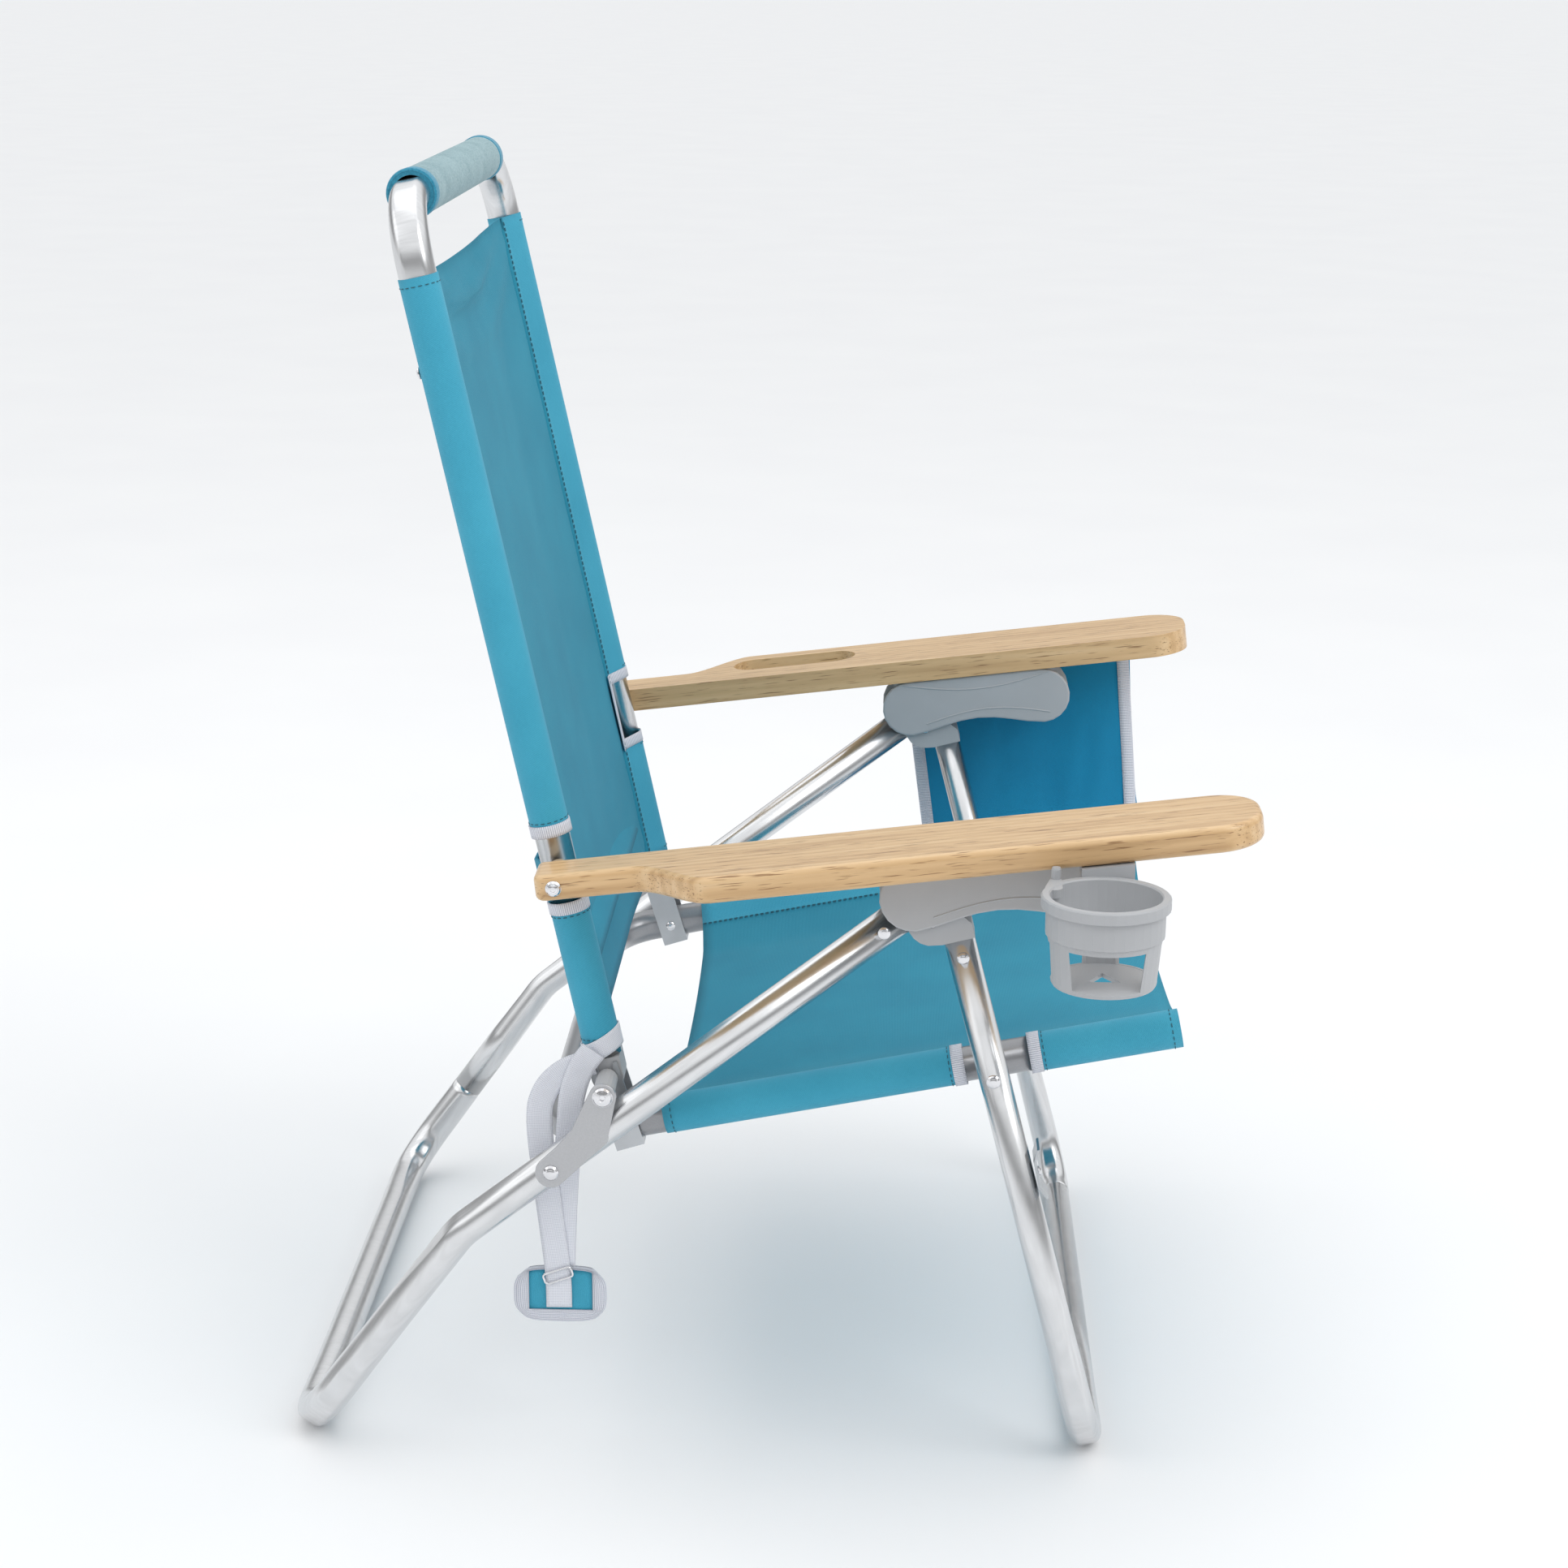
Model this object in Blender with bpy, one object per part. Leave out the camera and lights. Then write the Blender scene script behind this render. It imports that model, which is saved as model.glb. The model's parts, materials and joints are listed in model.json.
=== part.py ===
"""Folding beach chair: tube legs, sling seat and back, wooden armrests, cup holder and pouch.

Units are metres. The chair faces -Y, X runs across it and +Z is up. Side views are drawn in
(forward, up), with forward 0 at the rear floor tube and the chair's mid-plane at across = 0.
"""
from math import acos, asin, atan2, cos, pi, radians, sin, sqrt, tan

import bmesh
import bpy
from mathutils import Vector

# Driving dimensions
GAP = 0.0003                      # between touching pieces
REAR_TUBE = 0.0127                # tube radii
FRONT_TUBE = 0.0111
SEAT_TUBE = 0.0127
WALL = 0.0012
TUBE_SIDES = 20
LEG_X = 0.278                     # half-width of the leg planes
REAR_FOOT_X = 0.2645
FRONT_FOOT_X = 0.271
SLING_X = 0.241                   # half-width of the seat and back side tubes
LEG_HINGE = (0.458, 0.424)        # where the front legs turn on the rear legs
LOCK_PIN = (0.4445, 0.4425)       # carries the notched rack of the armrest
REAR_KNEE = (0.120, 0.178)
REAR_TOP = (0.4345, 0.4231)
REAR_RIVET = (0.4247, 0.4155)
FRONT_TOP = (0.4772, 0.4101)
FRONT_RIVET = (0.4805, 0.3975)
FRONT_FOOT = 0.582
SEAT_PIVOT = (0.504, 0.305)
SEAT_TILT = radians(11.3)
BACK_PIVOT = (0.226, 0.290)
BACK_LEAN = radians(12.46)
PLATE_PIVOT = (0.1884, 0.2315)
ARM_PIVOT = (0.193, 0.446)
ARM_TILT = radians(6.96)
ARM_THICK = 0.019
ARM_INNER = 0.2575
ARM_NECK = 0.2975
ARM_OUTER = 0.3425
ARM_TAIL = -0.014                 # along the armrest, from its pivot
ARM_TIP = 0.494
BACK_LENGTH = 0.640               # pivot to the middle of the handle
GRIP_HALF = 0.187
BACK_HEM = 0.0125                 # lower edge of the back panel, from its pivot
BACK_SLEEVE = 0.0270              # lower end of its sleeves
SEAT_REAR = -0.323                # along the seat from its pivot to the rear crossbar
SEAT_FRONT = 0.130
HANGER_AT = -0.2713               # along the seat from its pivot
HANGER_SHEET = 0.0012
CUP_X = 0.386
CUP_FORWARD = 0.572
CUP_TOP = 0.4757
CUP_RIM = 0.0435
HOUSING_R = 0.0238
TRACK = 0.115                     # travel of the lock pin along the rack
CLOTH = 0.0012
PLATE_IN = LEG_X + REAR_TUBE + 0.0006    # link plates, across the chair
PLATE_OUT = PLATE_IN + 0.003
SHELL_IN = 0.2600                 # outer faces of the two-part housings under the armrests
SHELL_OUT = 0.2975
CAVITY_IN = LEG_X - REAR_TUBE - 0.0005
CAVITY_OUT = LEG_X + REAR_TUBE + 0.0025
ARM_UNDER = -ARM_THICK / 2 - GAP  # lift of what hangs under the armrest
CUP_SWIVEL = 0.578                # forward position of the cup holder's screw
CUP_SWIVEL_X = 0.325
STRAP_X = 0.2588                  # where the two runs of the carry strap meet, across the chair

FLAT = cos(pi / TUBE_SIDES)       # a tube's flat is this much nearer than its edges

# The origin is under the middle of the whole chair's box
CENTRE_X = (ARM_OUTER - (CUP_X + CUP_RIM)) / 2
FOREMOST = ARM_PIVOT[0] + ARM_TIP * cos(ARM_TILT) + ARM_THICK / 2 * sin(ARM_TILT)
CENTRE_FORWARD = (FOREMOST - REAR_TUBE * FLAT) / 2


def at(across, forward, up):
    """World position of a point given across, forward and up."""
    return Vector((across - CENTRE_X, CENTRE_FORWARD - forward, up))


def along(start, angle, distance, lift=0.0):
    """Side-view point: distance along a direction from start, and lift square to it."""
    return (start[0] + distance * cos(angle) - lift * sin(angle),
            start[1] + distance * sin(angle) + lift * cos(angle))


def direction(angle):
    """World direction of a side-view angle."""
    return Vector((0, -cos(angle), sin(angle)))


# Materials

def material(name, colour, roughness, metallic=0.0):
    result = bpy.data.materials.new(name)
    result.use_nodes = True
    shader = result.node_tree.nodes["Principled BSDF"]
    shader.inputs["Base Color"].default_value = (*colour, 1)
    shader.inputs["Roughness"].default_value = roughness
    shader.inputs["Metallic"].default_value = metallic
    result.diffuse_color = (*colour, 1)
    return result


def make_materials():
    return {
        "polished_tube": material("polished_tube", (0.80, 0.80, 0.80), 0.2, 1.0),
        "grey_paint": material("grey_paint", (0.40, 0.40, 0.42), 0.35),
        "bright_steel": material("bright_steel", (0.70, 0.72, 0.74), 0.3, 1.0),
        "rivet_steel": material("rivet_steel", (0.82, 0.82, 0.82), 0.15, 1.0),
        "grey_plastic": material("grey_plastic", (0.52, 0.53, 0.55), 0.5),
        "oak": material("oak", (0.58, 0.38, 0.20), 0.35),
        "teal_cloth": material("teal_cloth", (0.03, 0.26, 0.40), 0.85),
        "pouch_cloth": material("pouch_cloth", (0.0, 0.17, 0.36), 0.85),
        "foam": material("foam", (0.16, 0.27, 0.29), 0.9),
        "webbing": material("webbing", (0.75, 0.75, 0.82), 0.8),
    }


# Building blocks

def finish(name, mesh, paint, smooth=radians(35)):
    """Put a bmesh into the scene as one named object."""
    bmesh.ops.recalc_face_normals(mesh, faces=mesh.faces[:])
    data = bpy.data.meshes.new(name)
    mesh.to_mesh(data)
    mesh.free()
    data.shade_smooth()
    data.set_sharp_from_angle(angle=smooth)
    data.materials.append(paint)
    result = bpy.data.objects.new(name, data)
    bpy.context.collection.objects.link(result)
    return result


def bevel(target, width, segments=2):
    modifier = target.modifiers.new("rounding", "BEVEL")
    modifier.width = width
    modifier.segments = segments
    modifier.limit_method = "ANGLE"
    modifier.angle_limit = radians(40)
    return target


def boolean(target, other, operation):
    """Cut or join with another object, which is then left out of the build."""
    modifier = target.modifiers.new(operation.lower(), "BOOLEAN")
    modifier.operation = operation
    modifier.solver = "EXACT"
    modifier.object = other
    other.hide_render = True
    other.display_type = "WIRE"
    return target


def bend(corners, radius, steps=5):
    """Polyline through the corners, each inner corner rounded with an arc."""
    path = [corners[0]]
    for before, corner, after in zip(corners, corners[1:], corners[2:]):
        into = (before - corner).normalized()
        out = (after - corner).normalized()
        half = acos(max(-1, min(1, into.dot(out)))) / 2
        bisector = (into + out).normalized()
        centre = corner + bisector * (radius / sin(half))
        first = corner + into * (radius / tan(half)) - centre
        last = corner + out * (radius / tan(half)) - centre
        sweep = acos(max(-1, min(1, first.dot(last) / radius ** 2)))
        for k in range(steps + 1):
            share = k / steps
            path.append(centre + (first * sin((1 - share) * sweep) + last * sin(share * sweep))
                        / sin(sweep))
    path.append(corners[-1])
    return path


def frames(path, down_at):
    """Point, direction and side vector along a path; the side vector points down at one point."""
    result = []
    tangents = []
    for i in range(len(path)):
        ahead = path[min(i + 1, len(path) - 1)]
        behind = path[max(i - 1, 0)]
        tangents.append((ahead - behind).normalized())
    side = tangents[0].orthogonal().normalized()
    for i, point in enumerate(path):
        if i:
            side = tangents[i - 1].rotation_difference(tangents[i]) @ side
            side = (side - tangents[i] * side.dot(tangents[i])).normalized()
        result.append([point, tangents[i], side])
    point, tangent, side = result[down_at]
    down = Vector((0, 0, -1))
    down = (down - tangent * down.dot(tangent)).normalized()
    turn = atan2(tangent.cross(side).dot(down), side.dot(down))
    for entry in result:
        across = entry[1].cross(entry[2])
        entry[2] = entry[2] * cos(turn) + across * sin(turn)
    return result


def tube(name, path, radius, paint, down_at=0, plug=0.0):
    """Hollow tube along a path, with a narrower plug at its last end when plug is set."""
    stations = [(frame, radius, radius - WALL) for frame in frames(path, down_at)]
    if plug:
        point, tangent, side = stations[-1][0]
        neck = radius - WALL - GAP
        stations[-1] = (stations[-1][0], radius, neck - WALL)
        stations.append((stations[-1][0], neck, neck - WALL))
        stations.append(([point + tangent * plug, tangent, side], neck, neck - WALL))
    mesh = bmesh.new()
    rings = []
    for (point, tangent, side), outer, inner in stations:
        across = tangent.cross(side)
        ring = []
        for size in (outer, inner):
            for k in range(TUBE_SIDES):
                angle = 2 * pi * (k + 0.5) / TUBE_SIDES
                ring.append(mesh.verts.new(point + side * size * cos(angle) + across * size * sin(angle)))
        rings.append(ring)
    for near, far in zip(rings, rings[1:]):
        for start in (0, TUBE_SIDES):
            if start and near[start].co == far[start].co:
                continue
            for k in range(TUBE_SIDES):
                n = (k + 1) % TUBE_SIDES
                mesh.faces.new((near[start + k], near[start + n], far[start + n], far[start + k]))
    for ring in (rings[0], rings[-1]):
        for k in range(TUBE_SIDES):
            n = (k + 1) % TUBE_SIDES
            mesh.faces.new((ring[k], ring[n], ring[TUBE_SIDES + n], ring[TUBE_SIDES + k]))
    bmesh.ops.remove_doubles(mesh, verts=mesh.verts[:], dist=1e-6)
    return finish(name, mesh, paint)


def turned(name, profile, centre, axis, paint, sides=20, closed=False):
    """Solid of revolution: profile is (radius, distance along axis) from one end to the other."""
    axis = axis.normalized()
    side = axis.orthogonal().normalized()
    across = axis.cross(side)
    mesh = bmesh.new()
    rings = []
    for size, height in profile:
        if size == 0:
            rings.append([mesh.verts.new(centre + axis * height)])
            continue
        ring = []
        for k in range(sides):
            angle = 2 * pi * k / sides
            ring.append(mesh.verts.new(centre + axis * height + side * size * cos(angle)
                                       + across * size * sin(angle)))
        rings.append(ring)
    pairs = list(zip(rings, rings[1:]))
    if closed:
        pairs.append((rings[-1], rings[0]))
    for near, far in pairs:
        for k in range(sides):
            n = (k + 1) % sides
            corners = [near[k % len(near)], near[n % len(near)], far[n % len(far)], far[k % len(far)]]
            unique = list(dict.fromkeys(corners))
            if len(unique) > 2:
                mesh.faces.new(unique)
    return finish(name, mesh, paint)


def prism(name, outline, base, first, second, depth, paint, holes=()):
    """Flat outline, with holes, drawn along two directions from base and given a depth."""
    mesh = bmesh.new()
    edges = []
    for loop in (outline, *holes):
        ring = [mesh.verts.new(base + first * a + second * b) for a, b in loop]
        for one, other in zip(ring, ring[1:] + ring[:1]):
            edges.append(mesh.edges.new((one, other)))
    if holes:
        bmesh.ops.triangle_fill(mesh, use_beauty=True, edges=edges)
    else:
        mesh.faces.new(list(mesh.verts))
    grown = bmesh.ops.extrude_face_region(mesh, geom=mesh.faces[:], use_keep_orig=True)
    moved = [item for item in grown["geom"] if isinstance(item, bmesh.types.BMVert)]
    bmesh.ops.translate(mesh, verts=moved, vec=depth)
    return finish(name, mesh, paint)


def side_prism(name, outline, across_from, across_to, paint, holes=()):
    """Side-view outline in (forward, up), given a thickness across the chair."""
    base = at(across_from, 0, 0)
    thick = Vector((across_to - across_from, 0, 0))
    return prism(name, outline, base, Vector((0, -1, 0)), Vector((0, 0, 1)), thick, paint, holes)


def arc(centre, radius, start, end, steps):
    """Side-view points on an arc, angles in degrees."""
    return [(centre[0] + radius * cos(radians(start + (end - start) * k / steps)),
             centre[1] + radius * sin(radians(start + (end - start) * k / steps)))
            for k in range(steps + 1)]


def circle(centre, radius, sides=16):
    return arc(centre, radius, 0, 360, sides)[:-1]


def capsule(start, start_r, end, end_r, steps=8):
    """Outline around two circles."""
    angle = atan2(end[1] - start[1], end[0] - start[0])
    apart = sqrt((end[0] - start[0]) ** 2 + (end[1] - start[1]) ** 2)
    slant = asin((end_r - start_r) / apart)
    low = (angle - pi / 2 - slant) * 180 / pi
    high = (angle + pi / 2 + slant) * 180 / pi
    return arc(end, end_r, low, high, steps) + arc(start, start_r, high, low + 360, steps)


def rivet(name, point, head_from, outward, head_r, head_h, shank_r, shank, paint, sides=16):
    """Domed head standing outward from head_from, with a shank running back in."""
    profile = [(0, -shank), (shank_r, -shank), (shank_r, 0), (head_r, 0), (head_r, head_h * 0.35),
               (head_r * 0.8, head_h * 0.75), (head_r * 0.45, head_h * 0.97), (0, head_h)]
    return turned(name, profile, at(head_from, *point), Vector((outward, 0, 0)), paint, sides)


def ring_across(name, point, across_from, across_to, inner, outer, paint, sides=16):
    """Spacer or washer around a line across the chair."""
    length = across_to - across_from
    profile = [(inner, 0), (outer, 0), (outer, length), (inner, length)]
    return turned(name, profile, at(across_from, *point), Vector((1, 0, 0)), paint, sides, closed=True)


SIDES = (("right", -1), ("left", 1))


# Legs

def rear_leg_path(side):
    return [at(side * LEG_X, *REAR_TOP), at(side * LEG_X, *REAR_KNEE),
            at(side * REAR_FOOT_X, 0, REAR_TUBE * FLAT)]


def front_leg_path(side):
    return [at(side * LEG_X, *FRONT_TOP), at(side * FRONT_FOOT_X, FRONT_FOOT, FRONT_TUBE * FLAT)]


def make_rear_loop(paint):
    right = rear_leg_path(-1)
    left = rear_leg_path(1)
    seam = left[2].lerp(left[1], 0.42)
    knee = bend(right, 0.060, 4)
    corners = [knee[-2], right[2], left[2], seam]
    path = knee[:-2] + bend(corners, 0.042, 6)
    middle = len(knee) - 2 + 7
    tube("rear_leg_loop", path, REAR_TUBE, paint, down_at=middle, plug=0.022)
    upper = left[2].lerp(left[1], 0.42 + GAP / 0.2)
    tube("rear_leg_left", bend([upper, left[1], left[0]], 0.060, 4), REAR_TUBE, paint)


def make_front_loop(paint):
    right = front_leg_path(-1)
    left = front_leg_path(1)
    seam_x = FRONT_FOOT_X - 0.052
    seam = at(seam_x, FRONT_FOOT, FRONT_TUBE * FLAT)
    path = bend([right[0], right[1], seam], 0.040, 6)
    tube("front_leg_loop", path, FRONT_TUBE, paint, down_at=len(path) - 1, plug=0.010)
    begin = at(seam_x + GAP, FRONT_FOOT, FRONT_TUBE * FLAT)
    tube("front_leg_left", bend([begin, left[1], left[0]], 0.040, 6), FRONT_TUBE, paint)


def plug_pin(name, end, inward, radius, length, paint):
    """Cylinder that fills the end of a tube."""
    return turned(name, [(0, 0), (radius, 0), (radius, length), (0, length)], end, inward, paint, 16)


def make_leg_caps(plastic, steel):
    fork_in, fork_out = LEG_X - 0.0125, LEG_X + 0.0125
    tongue = 0.006
    for name, side in SIDES:
        # Rear cap: a tongue from the tube's end that holds the hinge pin and the lock pin
        leg = rear_leg_path(side)
        lean = atan2(REAR_TOP[1] - REAR_KNEE[1], REAR_TOP[0] - REAR_KNEE[0])
        low = along(REAR_TOP, lean, GAP, -0.009)
        high = along(REAR_TOP, lean, GAP, 0.009)
        outline = [low, *arc(LEG_HINGE, 0.0105, -75, 40, 6), *arc(LOCK_PIN, 0.0070, 55, 150, 5), high]
        holes = [circle(LEG_HINGE, 0.004 + GAP), circle(LOCK_PIN, 0.004 + GAP)]
        cap = side_prism(f"rear_cap_{name}", outline, side * LEG_X - tongue, side * LEG_X + tongue,
                         plastic, holes)
        inward = (leg[1] - leg[0]).normalized()
        start = leg[0] - inward * (GAP + 0.002)
        boolean(cap, plug_pin(f"rear_cap_plug_{name}", start, inward, 0.0068, 0.024, plastic), "UNION")
        # Front cap: a fork around the tongue, on a neck that fills the front leg
        cheek = [*arc(LEG_HINGE, 0.0175, 40, 262, 12)]
        front = front_leg_path(side)
        down = atan2(FRONT_RIVET[1] - FRONT_TOP[1], FRONT_RIVET[0] - FRONT_TOP[0])
        cheek += [along(FRONT_TOP, down, -GAP, -0.0118), along(FRONT_TOP, down, -GAP, 0.0118),
                  along(FRONT_TOP, down, -0.011, 0.0118)]
        block = side_prism(f"front_cap_{name}", cheek, side * LEG_X - 0.0125, side * LEG_X + 0.0125,
                           plastic, [circle(LEG_HINGE, 0.004 + GAP)])
        slot = [*arc(LEG_HINGE, 0.0122, -75, 60, 6), along(LEG_HINGE, radians(60), 0.06),
                along(LEG_HINGE, radians(175), 0.06), along(LEG_HINGE, radians(250), 0.06)]
        boolean(block, side_prism(f"front_cap_slot_{name}", slot, side * LEG_X - tongue - GAP,
                                  side * LEG_X + tongue + GAP, plastic), "DIFFERENCE")
        inward = (front[1] - front[0]).normalized()
        start = front[0] - inward * 0.004
        radius = FRONT_TUBE - WALL - 2 * GAP
        boolean(block, plug_pin(f"front_cap_plug_{name}", start, inward, radius, 0.022, plastic), "UNION")
        # Pins
        for pin, point, reach in (("leg_hinge_pin", LEG_HINGE, fork_out - LEG_X),
                                  ("lock_pin", LOCK_PIN, fork_out - LEG_X - GAP)):
            profile = [(0, -reach), (0.004, -reach), (0.004, reach), (0, reach)]
            turned(f"{pin}_{name}", profile, at(side * LEG_X, *point), Vector((1, 0, 0)), steel, 16)
        rivet(f"rear_cap_rivet_{name}", REAR_RIVET, side * (LEG_X + REAR_TUBE + GAP), side,
              0.0042, 0.0014, 0.002, 0, steel)
        rivet(f"front_cap_rivet_{name}", FRONT_RIVET, side * (LEG_X + FRONT_TUBE + GAP), side,
              0.0042, 0.0020, 0.002, 0, steel)


def make_bottle_opener(steel, rivet_steel):
    down = atan2(FRONT_TUBE * FLAT - FRONT_TOP[1], FRONT_FOOT - FRONT_TOP[0])
    start = along(FRONT_TOP, down, 0.187, FRONT_TUBE + GAP + 0.0006)
    thick = 0.0018
    inner = [along(start, down, -0.019, 0.0055), along(start, down, -0.010, 0.0008),
             along(start, down, 0.010, 0.0), along(start, down, 0.019, 0.0035)]
    outer = [along(point, down, 0.0, thick) for point in reversed(inner)]
    side_prism("bottle_opener", inner + outer, -LEG_X - 0.006, -LEG_X + 0.018, steel)
    leg_x = -LEG_X + 0.0033
    base = at(leg_x, *along(start, down, 0.0, thick + 0.0008))
    profile = [(0.0035, 0), (0.0035, 0.0010), (0.0020, 0.0018), (0, 0.0020)]
    turned("opener_screw", [(0, 0), *profile], base, direction(down + pi / 2), rivet_steel, 16)


# Link plates and pivots

def make_link_plates(paint, steel, plastic):
    corner = (0.2235, 0.2590)
    outline = [*arc(PLATE_PIVOT, 0.0115, 140, 300, 8), *arc(corner, 0.0065, -40, 10, 3),
               *arc(BACK_PIVOT, 0.0098, 0, 152, 8), (0.2115, 0.2820), (0.2035, 0.2640),
               (0.1915, 0.2500)]
    holes = [circle(PLATE_PIVOT, 0.0030 + GAP), circle(BACK_PIVOT, 0.0036 + GAP)]
    for name, side in SIDES:
        bevel(side_prism(f"link_plate_{name}", outline, side * PLATE_IN, side * PLATE_OUT, paint, holes),
              0.0006, 1)
        rivet(f"plate_rivet_{name}", PLATE_PIVOT, side * (PLATE_OUT + GAP), side, 0.0055, 0.0028,
              0.0030, PLATE_OUT - PLATE_IN, steel)
        inner = SLING_X - SEAT_TUBE - 0.005
        length = PLATE_OUT + GAP - inner
        profile = [(0, -length), (0.0036, -length), (0.0036, 0), (0.0072, 0), (0.0072, 0.0008),
                   (0.0060, 0.0022), (0.0035, 0.0030), (0.0018, 0.0030), (0.0018, 0.0018),
                   (0, 0.0018)]
        turned(f"pivot_bolt_{name}", profile, at(side * (PLATE_OUT + GAP), *BACK_PIVOT),
               Vector((side, 0, 0)), steel, 20)
        outer = SLING_X + SEAT_TUBE + GAP + 0.0018
        low, high = sorted((side * (outer + GAP), side * (PLATE_IN - GAP)))
        ring_across(f"pivot_spacer_{name}", BACK_PIVOT, low, high, 0.0036 + GAP, 0.0078, plastic)


# Seat

def seat_point(distance, lift=0.0):
    return along(SEAT_PIVOT, SEAT_TILT, distance, lift)


def make_hanger(name, side, steel):
    """Strap under the seat tube whose two sides reach up to the back's pivot, open at the top."""
    foot = seat_point(HANGER_AT)
    hang = atan2(BACK_PIVOT[1] - foot[1], BACK_PIVOT[0] - foot[0])
    middle = side * SLING_X
    inner = SEAT_TUBE + GAP
    outer = inner + HANGER_SHEET
    half = 0.0105
    top = along(BACK_PIVOT, hang, half)
    outline = [along(foot, hang, -0.016, half), along(foot, hang, -0.016, -half),
               along(top, hang, 0, -half), along(top, hang, 0, half)]
    block = side_prism(f"seat_hanger_{name}", outline, middle - outer, middle + outer, steel)
    bore = [(0, -0.03), (inner, -0.03), (inner, 0.03), (0, 0.03)]
    boolean(block, turned(f"hanger_bore_{name}", bore, at(middle, *foot), direction(SEAT_TILT), steel,
                          TUBE_SIDES * 2), "DIFFERENCE")
    throat = [along(foot, SEAT_TILT, ahead, above)
              for ahead, above in ((-0.03, 0), (0.03, 0), (0.03, 0.08), (-0.03, 0.08))]
    boolean(block, side_prism(f"hanger_throat_{name}", throat, middle - inner, middle + inner, steel),
            "DIFFERENCE")
    slot = arc(BACK_PIVOT, 0.0044, 185, 365, 8)
    slot += [along(slot[-1], radians(95), 0.03, -0.001), along(slot[0], radians(95), 0.03, 0.006)]
    boolean(block, side_prism(f"hanger_slot_{name}", slot, middle - 0.02, middle + 0.02, steel),
            "DIFFERENCE")
    return foot, middle - side * (outer + GAP)


def make_seat_frame(paint, steel, rivet_steel, plastic):
    corners = [at(-SLING_X, *seat_point(SEAT_FRONT)), at(-SLING_X, *seat_point(SEAT_REAR)),
               at(SLING_X, *seat_point(SEAT_REAR)), at(SLING_X, *seat_point(SEAT_FRONT))]
    tube("seat_tube", bend(corners, 0.038, 6), SEAT_TUBE, paint)
    leg_share = (FRONT_TOP[1] - SEAT_PIVOT[1]) / FRONT_TOP[1]
    leg_x = LEG_X + (FRONT_FOOT_X - LEG_X) * leg_share
    for name, side in SIDES:
        foot, inner_face = make_hanger(name, side, steel)
        rivet(f"hanger_rivet_{name}", foot, inner_face, -side, 0.0040, 0.0014, 0.002, 0, rivet_steel)
        low, high = sorted((side * (SLING_X + SEAT_TUBE + GAP), side * (leg_x - FRONT_TUBE - GAP)))
        ring_across(f"seat_spacer_{name}", SEAT_PIVOT, low, high, 0.0032, 0.0065, plastic)
        rivet(f"seat_rivet_{name}", SEAT_PIVOT, side * (leg_x + FRONT_TUBE + GAP), side, 0.0048,
              0.0022, 0.002, 0, rivet_steel)


def sleeve_section(outer, root, steps=16):
    """Section of the left sleeve, from the panel's upper face round the tube to its underside."""
    turn = 2 * (pi - root) / steps
    return [(SLING_X + outer * cos(pi - root - turn * k), outer * sin(pi - root - turn * k))
            for k in range(steps + 1)]


def sling(name, origin, angle, start, end, notches, paint):
    """Panel between two sleeves around the side tubes, with notches where pivots pass."""
    radius = SEAT_TUBE + GAP
    outer = radius + CLOTH
    left = sleeve_section(outer, asin(CLOTH / outer))
    loop = left + [(-a, -b) for a, b in left]
    holes = [[(side * SLING_X + radius * cos(2 * pi * (k + 0.5) / TUBE_SIDES),
               radius * sin(2 * pi * (k + 0.5) / TUBE_SIDES)) for k in range(TUBE_SIDES)]
             for side in (1, -1)]
    normal = direction(angle + pi / 2)
    base = at(0, *along(origin, angle, start))
    panel = prism(name, loop, base, Vector((1, 0, 0)), normal, direction(angle) * (end - start), paint,
                  holes)
    for index, (low, high, inner) in enumerate(notches):
        for label, side in SIDES:
            corners = [along(origin, angle, low, -0.03), along(origin, angle, high, -0.03),
                       along(origin, angle, high, 0.03), along(origin, angle, low, 0.03)]
            across = sorted((side * inner, side * (SLING_X + 0.04)))
            boolean(panel, side_prism(f"{name}_notch_{index}_{label}", corners, *across, paint),
                    "DIFFERENCE")
    return panel


# Back

BACK_ANGLE = pi / 2 + BACK_LEAN


def back_point(distance, lift=0.0):
    return along(BACK_PIVOT, BACK_ANGLE, distance, lift)


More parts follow.
